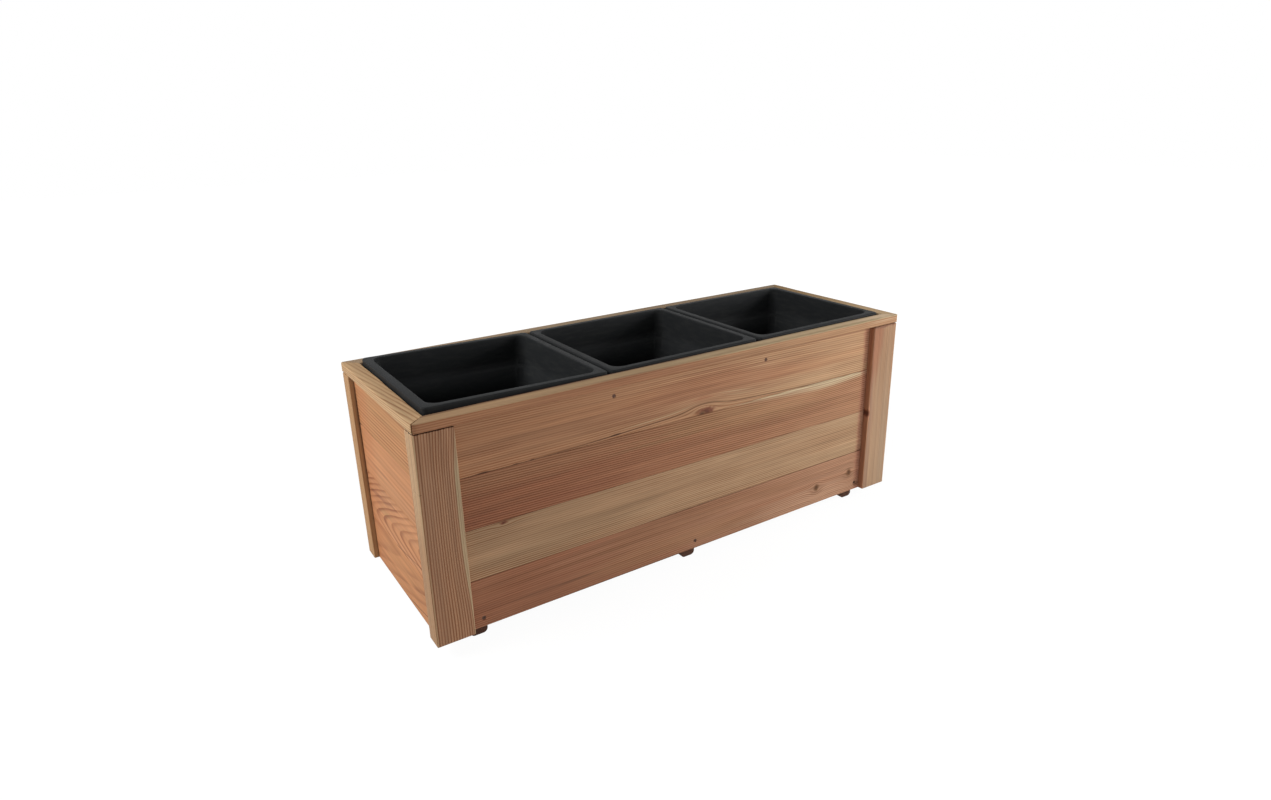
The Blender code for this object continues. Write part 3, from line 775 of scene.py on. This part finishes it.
post(
    "post_front_right", seed=74.0, inner_ease=1.9,
    heart=(0.15, 0.05), ring=0.0036, tones=(ASH, SAND), far_tone=(0.9, 0.84, 0.8),
    wander=0.005, lines=0.7, knots=[(0.196, 0.4375, 0.008, 0.004, KNOT)],
    marks=[
        (0.2, 0.44, 2.0, 0.019, 0.7, (0.27, 0.16, 0.106)),
        (0.345, 0.446, 0.12, 0.02, 0.7, BRICK),
        # painted reflected light: the shaded left face reddish from the boards beside it
        (0.2, 0.437, 2.0, 0.0025, 0.9, (0.48, 0.22, 0.12)),
        # painted shade in the gap under the cap
        (0.3775, 0.468, 0.0045, 0.06, 0.9, UMBER),
    ],
)
post(
    "post_back_left", seed=77.0, heart=(0.1, 0.1), ring=0.0036, tones=(BISCUIT, HONEY), lines=0.7,
    # painted shade in the corner beside the left wall
    marks=[(0.2, -0.4905, 2.0, 0.004, 0.7, PITCH)],
)
post(
    "post_back_right", seed=81.0, inner_ease=1.5,
    heart=(-0.12, 0.04), ring=0.0034, tones=(ROSE, BRICK),
)
print("four posts with", POST_STATIONS, "stations each")

# %% [markdown]
# ## The mitred cap
#
# Four slim rails lie on the walls and meet at 45 degrees, like a picture frame. The outline is
# carried along each rail, and each of its points stops on the corner's diagonal, so the mitre comes
# out of the formula. Then the corner itself is rounded: a point that sticks out past the round
# is drawn towards its centre, which lies on the same diagonal, so the joint stays closed. Only
# the front left joint gapes a little on the outside, because its wood has shrunk.

# %% The shape of a cap rail
CAP_ROUND = 0.0024
CAP_CORNER_ROUND = 0.008
MITRE_GAP = 0.0003
CAP_STATIONS = 90
CAP_WOBBLE = 0.25
CAP_RING = 0.0036  # the width of a year
cap_low, cap_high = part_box("cap_rail_front")
CAP_WIDTH = cap_high.y - cap_low.y
CAP_THICKNESS = cap_high.z - cap_low.z
CAP_HALF = (-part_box("cap_rail_left")[0].x, -cap_low.y)


def cap_rail(name, quarter, seed, open_mitre=0.0, **recipe):
    """A rail from its outline at each station, then turned by so many quarter turns.

    At a share s of the way along, from -1 to 1, and a distance out from the rail's inner edge, a
    point lies at x = s (half length of the inner edge + out), y = -(inner edge + out). open_mitre
    is how far the joint at s = 1 gapes on the outside.
    """
    half_long, half_wide = CAP_HALF if quarter % 2 == 0 else CAP_HALF[::-1]
    inner_long, inner_wide = half_long - CAP_WIDTH, half_wide - CAP_WIDTH
    share = np.sin(np.linspace(-np.pi / 2, np.pi / 2, CAP_STATIONS))
    wobbles = [CAP_WOBBLE * uneven(CAP_STATIONS, seed + edge) for edge in range(3)]
    rounds = [CAP_ROUND * (1 + wobble) for wobble in wobbles]
    corners = [
        (0, 0, 0),
        (CAP_WIDTH, 0, rounds[0]),
        (CAP_WIDTH, CAP_THICKNESS, rounds[1]),
        (0, CAP_THICKNESS, rounds[2]),
    ]
    outline = eased_outline(corners)
    out, height = outline[..., 0], outline[..., 1]
    reach = inner_long - MITRE_GAP * math.sqrt(0.5) + out
    reach = reach - open_mitre * out / CAP_WIDTH * (share[:, None] > 0)
    x = share[:, None] * reach
    y = -(inner_wide + out)
    from_x = np.abs(x) - (half_long - CAP_CORNER_ROUND)
    from_y = np.abs(y) - (half_wide - CAP_CORNER_ROUND)
    past = np.hypot(np.maximum(from_x, 0), np.maximum(from_y, 0))
    outside = (from_x > 0) & (from_y > 0) & (past > CAP_CORNER_ROUND)
    pull = np.where(outside, CAP_CORNER_ROUND / np.maximum(past, 1e-9), 1)
    x = np.where(pull < 1, np.sign(x) * (half_long - CAP_CORNER_ROUND + from_x * pull), x)
    y = np.where(pull < 1, -(half_wide - CAP_CORNER_ROUND + from_y * pull), y)
    cosine, sine = round(math.cos(quarter * math.pi / 2)), round(math.sin(quarter * math.pi / 2))
    points = np.stack([cosine * x - sine * y, sine * x + cosine * y, cap_low.z + height], -1)
    faces = carried_faces(*outline.shape[:2])
    material = wood(name, "yxz" if quarter % 2 else "xyz", ring=CAP_RING, seed=seed, **recipe)
    return piece(f"{name}_eased", points, faces, "box", [name], material)


print("a rail in millimetres:", round(1000 * CAP_WIDTH, 1), "x", round(1000 * CAP_THICKNESS, 1))

# %% Make the cap
cap_rail(
    "cap_rail_front", 0, seed=91.0, heart=(0.0, -0.3), tones=(CHESTNUT, PEACH),
    # painted light: the rail paler towards the right end
    far_tone=(1.0, 1.2, 1.26), wander=0.0015, lines=0.8,
    sap=(0.306, 0.001, (0.375, 0.235, 0.128)),
    marks=[
        (-0.17, -0.184, 0.24, 0.0032, 0.6, RUSSET),
        # painted light on the top, towards the right end
        (0.4, -0.168, 0.5, 0.014, 0.8, CREAM),
        (0.5, -0.168, 0.2, 0.014, 0.6, (0.85, 0.64, 0.44)),
        # painted shade along the inner top edge, beside the pots' rims
        (0.0, cap_low.y + CAP_WIDTH, 2.0, 0.0075, 0.9, PAINTED_SHADE_EARTH),
    ],
)
cap_rail(
    "cap_rail_right", 1, seed=101.0, heart=(0.05, -0.08), tones=(CREAM, WHEAT),
    far_tone=(0.54, 0.49, 0.39),
)
cap_rail("cap_rail_back", 2, seed=97.0, heart=(-0.06, -0.1), tones=(LICHEN, ASH))
cap_rail(
    "cap_rail_left", 3, seed=94.0, open_mitre=0.0028,
    heart=(-0.03, -0.05), tones=(WHEAT, BISCUIT), lean=0.05,
)
print("four cap rails, mitred by their formula")

# %% [markdown]
# ## The feet, and the wood that stays inside
#
# The bearers under the box are sawn, not planed, and the saw left fine ripples across the grain.
# Only their rounded ends show from the front. The floor slats and cross rails inside show once a
# pot is lifted out. Their shape is right as it is, so they keep it and get the sawn finish.

# %% Make the feet and dress the inner wood
BEARER_ROUND = 0.008
BEARER_STATIONS = 24
BEARER_WOBBLE = 0.05


def bearer(name, material, seed):
    """A bearer from its outline, carried from the front wall to the back wall."""
    low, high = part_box(name)
    half = (high.x - low.x) / 2
    height = high.z - low.z
    wobbles = [BEARER_WOBBLE * uneven(BEARER_STATIONS, seed + edge) for edge in range(2)]
    rounds = [BEARER_ROUND * (1 + wobble) for wobble in wobbles]
    corners = [(-half, 0, rounds[0]), (half, 0, rounds[1]), (half, height, 0), (-half, height, 0)]
    outline = eased_outline(corners)
    points = np.empty((*outline.shape[:2], 3))
    points[..., 0] = (low.x + high.x) / 2 + outline[..., 0]
    points[..., 1] = np.linspace(low.y, high.y, BEARER_STATIONS)[:, None]
    points[..., 2] = low.z + outline[..., 1]
    faces = carried_faces(*outline.shape[:2])
    return piece(f"{name}_eased", points, faces, "box", [name], material)


for number, name in enumerate(("bearer_left", "bearer_middle", "bearer_right")):
    heart = (0.06 - 0.05 * number, -0.07)
    seed = 111.0 + 3 * number
    # the feet's dark tones are painted shade under the box
    bearer(name, wood(name, "yxz", heart, 0.0034, (PAINTED_SHADE_EARTH, PAINTED_SHADE_MAHOGANY), seed, saw=1.0), seed)
for number, name in enumerate(("floor_slat_front", "floor_slat_middle", "floor_slat_back")):
    heart = (0.05 * number - 0.04, 0.08)
    dress(name, wood(name, "xyz", heart, 0.0036, (BROWN, TAN), 121.0 + 3 * number, saw=0.8))
for number, name in enumerate(("cross_rail_1", "cross_rail_2")):
    dress(name, wood(name, "yxz", (0.03, 0.09), 0.0034, (BROWN, ROSE), 131.0 + 3 * number, saw=0.8))
print("three feet, three slats and two cross rails")

# %% [markdown]
# ## The pots
#
# Each pot is moulded from a dark grey plastic in one go: a rim that rolls over and turns down,
# walls that lean in so that the pot leaves its mould, and a ledge three fingers down, at which
# the wall steps in. Its shape is a rounded rectangle carried through a list of levels. One grid
# covers both sides of the wall: up the outside, over the rim and down the inside.

# %% Sizes of a pot
POT_WALL = 0.003
POT_RIM_WIDTH = 0.0135
POT_RIM_HEIGHT = 0.0184
POT_RIM_ROUND = 0.0025
POT_MOUTH_ROUND = 0.002
POT_RIM_CORNER = 0.008
POT_CORNER = 0.018
POT_TAPER = 0.012  # a side leans in by this much at the base
POT_LEDGE_DROP = 0.056  # under the rim's top
POT_LEDGE = 0.004
POT_BASE_ROUND = 0.006
LIP_EASE = 0.0006
LEDGE_EASE = 0.0008
UNDER_RIM_EASE = 0.001
CORNER_STEPS = 10
SIDE_STEPS = 8
pot_low, pot_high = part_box("pot_middle")
POT_HALF = ((pot_high.x - pot_low.x) / 2, (pot_high.y - pot_low.y) / 2)
POT_TOP = pot_high.z - pot_low.z
pot_size = (2 * POT_HALF[0], 2 * POT_HALF[1], POT_TOP)
print("a pot in millimetres:", [round(1000 * x) for x in pot_size])

# %% Levels of a pot


def rounded_rectangle(half_x, half_y, corner):
    """Rounded rectangles, one for each level: an arc at each corner and points along each side.

    An arc's centre is half - corner from the middle each way, and its points are centre +
    corner (cos t, sin t). A side's points divide the way from one arc to the next evenly.
    """
    turn = np.linspace(0, np.pi / 2, CORNER_STEPS + 1)
    rows = []
    for quarter, (side_x, side_y) in enumerate(((1, 1), (-1, 1), (-1, -1), (1, -1))):
        angle = turn + quarter * np.pi / 2
        arc_x = side_x * (half_x - corner)[:, None] + corner[:, None] * np.cos(angle)
        arc_y = side_y * (half_y - corner)[:, None] + corner[:, None] * np.sin(angle)
        rows.append(np.stack([arc_x, arc_y], -1))
    ring = []
    share = np.linspace(0, 1, SIDE_STEPS + 1)[1:-1][None, :, None]
    for arc, following in zip(rows, rows[1:] + rows[:1]):
        ring += [arc, arc[:, -1:] * (1 - share) + following[:, :1] * share]
    return np.concatenate(ring, 1)


def pot_levels():
    """The levels of a pot as rows of (inset from the rim, corner radius, height, lean).

    A wall leans in by POT_TAPER (top - height) / top, and a round is a quarter turn of t, with the
    sizes radius (1 - sin t) and radius (1 - cos t).
    """
    lean = POT_TAPER / POT_TOP
    ledge = POT_TOP - POT_LEDGE_DROP
    lip = POT_TOP - POT_RIM_HEIGHT
    body = POT_RIM_WIDTH - POT_WALL
    outer = POT_CORNER + POT_WALL
    turn = np.linspace(0, np.pi / 2, 7)
    rows = []

    def level(inset, corner, height, leans=1.0):
        rows.append((inset, corner, height, leans * lean * (POT_TOP - height)))

    def walls(inset, corner, heights):
        for height in heights:
            level(inset, corner, height)

    for t in turn:
        inward = POT_BASE_ROUND * (1 - np.sin(t))
        level(body + POT_LEDGE + inward, outer - inward, POT_BASE_ROUND * (1 - np.cos(t)))
    walls(body + POT_LEDGE, outer, np.linspace(POT_BASE_ROUND, ledge - POT_WALL - POT_LEDGE, 7)[1:])
    walls(body, outer, np.linspace(ledge - POT_WALL, POT_TOP - POT_WALL, 4))
    lip_corner = POT_RIM_CORNER - POT_WALL / 2
    level(POT_WALL + UNDER_RIM_EASE, lip_corner, POT_TOP - POT_WALL, 0)
    level(POT_WALL, lip_corner, POT_TOP - POT_WALL - UNDER_RIM_EASE, 0)
    level(POT_WALL, lip_corner, lip + LIP_EASE, 0)
    level(POT_WALL - LIP_EASE, lip_corner, lip, 0)
    level(LIP_EASE, POT_RIM_CORNER, lip, 0)
    level(0, POT_RIM_CORNER, lip + LIP_EASE, 0)
    for t in turn:
        drawn_in = POT_RIM_ROUND * (1 - np.cos(t))
        level(drawn_in, POT_RIM_CORNER - drawn_in, POT_TOP - POT_RIM_ROUND * (1 - np.sin(t)), 0)
    for t in turn[::-1]:
        back = POT_MOUTH_ROUND * (1 - np.cos(t))
        height = POT_TOP - POT_MOUTH_ROUND * (1 - np.sin(t))
        level(POT_RIM_WIDTH - back, POT_CORNER + back, height, 0)
    above = np.linspace(POT_TOP - POT_MOUTH_ROUND, ledge + LEDGE_EASE, 5)[1:]
    walls(POT_RIM_WIDTH, POT_CORNER, above)
    level(POT_RIM_WIDTH + LEDGE_EASE, POT_CORNER, ledge)
    level(POT_RIM_WIDTH + POT_LEDGE - LEDGE_EASE, POT_CORNER, ledge - POT_LEDGE + LEDGE_EASE)
    below = np.linspace(ledge - POT_LEDGE, POT_WALL + POT_BASE_ROUND, 8)
    walls(POT_RIM_WIDTH + POT_LEDGE, POT_CORNER, below)
    for t in turn[1:]:
        inward = POT_BASE_ROUND * (1 - np.cos(t))
        height = POT_WALL + POT_BASE_ROUND * (1 - np.sin(t))
        level(POT_RIM_WIDTH + POT_LEDGE + inward, POT_CORNER - inward, height)
    return np.array(rows)


print("a pot has", len(pot_levels()), "levels")

# %% [markdown]
# Thin walls don't stay flat when the plastic cools: they draw in by less than a millimetre in the
# middle. The left pot isn't pushed all the way home, so its rim rides up a little at the
# box's end. It is turned about the foot of its right rim, where it still sits.

# %% Mould the pots
POT_SHRINK = 0.0006
PLASTIC = (0.0185, 0.0198, 0.0208)
PLASTIC_DUST = (0.044, 0.044, 0.041)
PLASTIC_SHEEN = 0.05


def plastic(name, seed, wear_and_top_shade):
    """Moulded plastic: a fine grain from the mould, faint flow marks, and a little dust.

    The third argument is how much darker its upward faces are: painted shade, from how the light
    falls on them.
    """
    finish = Finish(name, {"Specular IOR Level": PLASTIC_SHEEN})
    grain = finish.noise((1500, 1500, 1500), seed, 1.0)
    flow = finish.noise((9, 9, 3), seed + 1)
    scuff = finish.noise((35, 35, 160), seed + 2, 4.0)
    upward = finish.axes(finish.node("ShaderNodeTexCoord", output="Normal"))["z"].rising(0.3, 1.0)
    dust = scuff * 0.96 + 0.05
    colour = finish.blend(dust, PLASTIC, PLASTIC_DUST)
    # painted shade: the upward faces darker
    colour = finish.shade(colour, 1 + flow * 0.25 - upward * wear_and_top_shade)
    roughness = 0.52 + scuff * 0.25 + flow * 0.10
    relief = grain * 0.5 + scuff * 0.3
    return finish.show(colour, roughness, relief, relief_height=0.0004, relief_strength=0.5)


def pot(name, seed, wear_and_top_shade, lift=0.0):
    """A pot at its place in the row, tilted about the foot of its right rim if it rides up.

    Its walls draw in by POT_SHRINK in the middle, and not at the corners or under the rim.
    """
    inset, corner, height, lean = pot_levels().T
    ring = rounded_rectangle(POT_HALF[0] - inset - lean, POT_HALF[1] - inset - lean, corner)
    share_x = ring[..., 0] / (POT_HALF[0] - inset - lean)[:, None]
    share_y = ring[..., 1] / (POT_HALF[1] - inset - lean)[:, None]
    belly = np.clip(lean / POT_TAPER * 4, 0, 1)[:, None] * POT_SHRINK
    x = ring[..., 0] - np.sign(share_x) * belly * np.abs(share_x) ** 8 * (1 - share_y**2)
    y = ring[..., 1] - np.sign(share_y) * belly * np.abs(share_y) ** 8 * (1 - share_x**2)
    z = np.broadcast_to(height[:, None], x.shape)
    right_foot = POT_TOP - POT_RIM_HEIGHT
    tilt = math.asin(lift / (2 * POT_HALF[0]))
    from_seat = x - POT_HALF[0]
    above_seat = z - right_foot
    turned_x = from_seat * math.cos(tilt) + above_seat * math.sin(tilt)
    turned_z = above_seat * math.cos(tilt) - from_seat * math.sin(tilt)
    seat_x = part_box(name)[1].x - POT_RIM_HEIGHT * math.sin(tilt)
    points = np.stack([seat_x + turned_x, y, pot_low.z + right_foot + turned_z], -1)
    faces = carried_faces(*points.shape[:2])
    material = plastic(f"{name}_plastic", seed, wear_and_top_shade)
    return piece(f"{name}_moulded", points, faces, name, [name], material, 50)


POT_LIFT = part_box("pot_left")[1].z - pot_high.z
# the third number darkens the pot's upward faces, as painted shade
pot("pot_left", 3.0, 0.25, POT_LIFT)
pot("pot_middle", 5.0, 0.36)
pot("pot_right", 7.0, 0.28)
print("three pots; the left one rides up by", round(1000 * POT_LIFT, 1), "mm")

# %% [markdown]
# ## Screws
#
# A countersunk screw is a turned piece: its radius changes along its axis. Two things aren't
# round on it. The recess for the driver has six lobes, so near the middle of the head the radius
# depends on the angle, and the thread is a ridge that climbs by one pitch a turn, so along the
# shank the radius depends on the angle and the way along together. A grid of angles holds both.

# %% The shape of a screw
SCREW_ANGLES = 36
RECESS_RADIUS = 0.0014
RECESS_LOBES = 0.22
RECESS_DEPTH = 0.0016
RECESS_EASE = 0.0001
RECESS_SHARES = (0.55, 0.98, 1.04)  # of the lobes' radius: on its floor, at its foot, at its mouth
HEAD_DEPTH = 0.0022
HEAD_EASE = (0.0003, 0.0002)  # inwards and down, at the head's edge
SCREW_SHANK = 0.0019
THREAD_START = 0.001  # below the head
THREAD_PITCH = 0.0022
THREAD_DEPTH = 0.00045
THREAD_ROWS = 5  # in each turn
THREAD_STEEPNESS = 5
TIP_LENGTH = 0.005
TIP_SHARE = 0.08  # the tip's radius, as a share of the thread's


def screw_grid(head, length):
    """The angles of a screw's grid, and its radius and depth at each row and angle.

    Along the thread, climb = depth / pitch - angle / full turn, and f is its fraction. The ridge
    is 1 - steepness * |f - 0.5|, or 0 where that is less. The tip narrows in a straight line.
    """
    floor_share, foot_share, mouth_share = RECESS_SHARES
    angle = np.arange(SCREW_ANGLES) * 2 * np.pi / SCREW_ANGLES
    lobes = RECESS_RADIUS * (1 + RECESS_LOBES * np.cos(6 * angle))
    smooth = np.ones(SCREW_ANGLES)
    rows = [
        (floor_share * lobes, RECESS_DEPTH),
        (foot_share * lobes, RECESS_DEPTH),
        (lobes, RECESS_EASE),
        (mouth_share * lobes, 0.0),
        ((head - HEAD_EASE[0]) * smooth, 0.0),
        (head * smooth, HEAD_EASE[1]),
        (SCREW_SHANK * smooth, HEAD_DEPTH),
    ]
    radius = np.array([row[0] for row in rows])
    depth = np.repeat(np.array([row[1] for row in rows])[:, None], SCREW_ANGLES, 1)
    along = np.arange(HEAD_DEPTH + THREAD_START, length, THREAD_PITCH / THREAD_ROWS)
    climb = along[:, None] / THREAD_PITCH - angle / (2 * np.pi)
    ridge = np.maximum(0, 1 - np.abs((climb % 1) - 0.5) * THREAD_STEEPNESS)
    tip = np.clip((length - along) / TIP_LENGTH, TIP_SHARE, 1)[:, None]
    thread = (SCREW_SHANK - THREAD_DEPTH + THREAD_DEPTH * ridge) * tip
    radius = np.concatenate([radius, thread])
    depth = np.concatenate([depth, np.broadcast_to(along[:, None], thread.shape)])
    return angle, radius, depth


print("a screw's grid has", SCREW_ANGLES, "angles")

# %% Make the screws
SCREW_DULL = (0.160, 0.092, 0.068)
SCREW_WEATHERED = (0.075, 0.042, 0.032)


def screw_metal(name, seed):
    """Dull zinc on steel, darker where it has weathered."""
    finish = Finish(name, {"Metallic": 1.0})
    wear_and_top_shade = finish.noise((900, 900, 900), seed, 3.0)
    colour = finish.blend(wear_and_top_shade * 2.5 + 0.5, SCREW_DULL, SCREW_WEATHERED)
    roughness = 0.48 + wear_and_top_shade * 0.4
    return finish.show(colour, roughness, wear_and_top_shade, relief_height=0.0002, relief_strength=0.4)


def screw(name, material):
    """A screw where the construction has it: into a long wall, or down into a bearer."""
    low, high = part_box(name)
    middle, size = (low + high) / 2, high - low
    downward = name.startswith("slat")
    head = min(size.x, size.y if downward else size.z) / 2
    angle, radius, depth = screw_grid(head, size.z if downward else size.y)
    round_x, round_y = radius * np.cos(angle), radius * np.sin(angle)
    if downward:
        points = np.stack([middle.x + round_x, middle.y + round_y, high.z - depth], -1)
    elif "front" in name:
        points = np.stack([middle.x + round_x, low.y + depth, middle.z + round_y], -1)
    else:
        points = np.stack([middle.x + round_x, high.y - depth, middle.z + round_y], -1)
    faces = carried_faces(*points.shape[:2])
    return piece(f"{name}_turned", points, faces, "box", [name], material, 30)


metal = screw_metal("screw_zinc", 1.0)
screws = sorted(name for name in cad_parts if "screw" in name)
for name in screws:
    screw(name, metal)
print(len(screws), "screws")

# %% [markdown]
# ## Floor and light
#
# The picture is taken on white. The floor and the world show white to the camera and in
# reflections, while soft lamps and a dim sky light the object. A large lamp high on the left makes
# the left end the brightest. A smaller one on the right shines along the front, which so gets
# lighter from left to right, and the right post throws a narrow shadow. A dim one ahead opens that
# shadow. A part of the floor's own shading stays in what the camera sees, as the soft shadow under
# the box.

# %% Floor
FLOOR_HALF = 9.0
FLOOR_DROP = 0.0002  # below the feet
FLOOR_WHITE = 0.90  # the share of plain white in what the camera sees of the floor near the box
FLOOR_GLOW = 1.06  # the strength of that white
SHADOW_REACH = (0.8, 1.8)  # over these distances from the box the floor turns plain white
PAPER_WHITE = (0.80, 0.80, 0.80, 1.0)


def seen_directly(nodes):
    """1 for what the camera and reflections see, and 0 for light that falls on things."""
    seen = nodes.node("ShaderNodeLightPath", output="Is Camera Ray")
    for ray in ("Is Glossy Ray", "Is Transmission Ray"):
        seen = seen.math("MAXIMUM", nodes.node("ShaderNodeLightPath", output=ray))
    return seen


def paper(name):
    """Matt to the lamps, and plain white to look at, with a part of its shading near the box."""
    material = bpy.data.materials.new(name)
    material.use_nodes = True
    material.node_tree.nodes.remove(material.node_tree.nodes["Principled BSDF"])
    nodes = Nodes(material.node_tree)
    spot = nodes.node("ShaderNodeTexCoord", output="Object")
    distance = nodes.node("ShaderNodeVectorMath", {"operation": "LENGTH"}, [spot], "Value")
    whiter = nodes.node("ShaderNodeMapRange", None, [distance, *SHADOW_REACH, FLOOR_WHITE, 1.0])
    matt = nodes.node("ShaderNodeBsdfDiffuse", None, {"Color": PAPER_WHITE})
    white = nodes.node("ShaderNodeEmission", None, {"Strength": FLOOR_GLOW})
    mixed = nodes.node("ShaderNodeMixShader", None, [seen_directly(nodes) * whiter, matt, white])
    nodes.feed(nodes.tree.nodes["Material Output"].inputs["Surface"], mixed)
    return material


floor_mesh = bpy.data.meshes.new("floor")
corner_signs = ((-1, -1), (1, -1), (1, 1), (-1, 1))
floor_corners = [(x * FLOOR_HALF, y * FLOOR_HALF, -FLOOR_DROP) for x, y in corner_signs]
floor_mesh.from_pydata(floor_corners, [], [(0, 1, 2, 3)])
floor_mesh.materials.append(paper("paper_floor"))
floor = bpy.data.objects.new("floor", floor_mesh)
bpy.context.scene.collection.objects.link(floor)
floor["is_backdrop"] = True
print("a white floor of", 2 * FLOOR_HALF, "metres")

# %% Sky and lamps
SKY = 0.13  # the light from all around

world = bpy.data.worlds.new("studio")
world.use_nodes = True
bpy.context.scene.world = world
sky = Nodes(world.node_tree)
background = world.node_tree.nodes["Background"]
sky.feed(background.inputs["Strength"], SKY + (1.0 - SKY) * seen_directly(sky))
sky.feed(background.inputs["Color"], (1.0, 1.0, 1.0, 1.0))


def soft_lamp(name, place, target, size, power):
    """A lamp with a rectangular face, which looks at its target."""
    data = bpy.data.lights.new(name, "AREA")
    data.shape = "RECTANGLE"
    data.size, data.size_y = size
    data.energy = power
    lamp = bpy.data.objects.new(name, data)
    bpy.context.scene.collection.objects.link(lamp)
    lamp.location = place
    towards = np.subtract(target, place)
    lamp.rotation_euler = (
        math.atan2(math.hypot(towards[0], towards[1]), -towards[2]),
        0.0,
        math.atan2(towards[1], towards[0]) - math.pi / 2,
    )
    return lamp


soft_lamp("lamp_left", (-1.9, 0.35, 1.65), (-0.4, 0.0, 0.25), (1.0, 1.0), 40.0)
soft_lamp("lamp_right", (1.52, -1.07, 0.70), (0.15, -0.1, 0.2), (0.45, 0.6), 21.0)
soft_lamp("lamp_ahead", (0.8, -1.6, 0.5), (0.1, 0.0, 0.2), (1.3, 0.9), 8.4)
print("three lamps and a dim sky")

# %% Measure the size against the construction
seen_low, seen_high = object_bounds()
grown = (*(cad_low - seen_low), *(seen_high - cad_high))
print("grown by, in mm:", [round(1000 * x, 2) for x in grown])
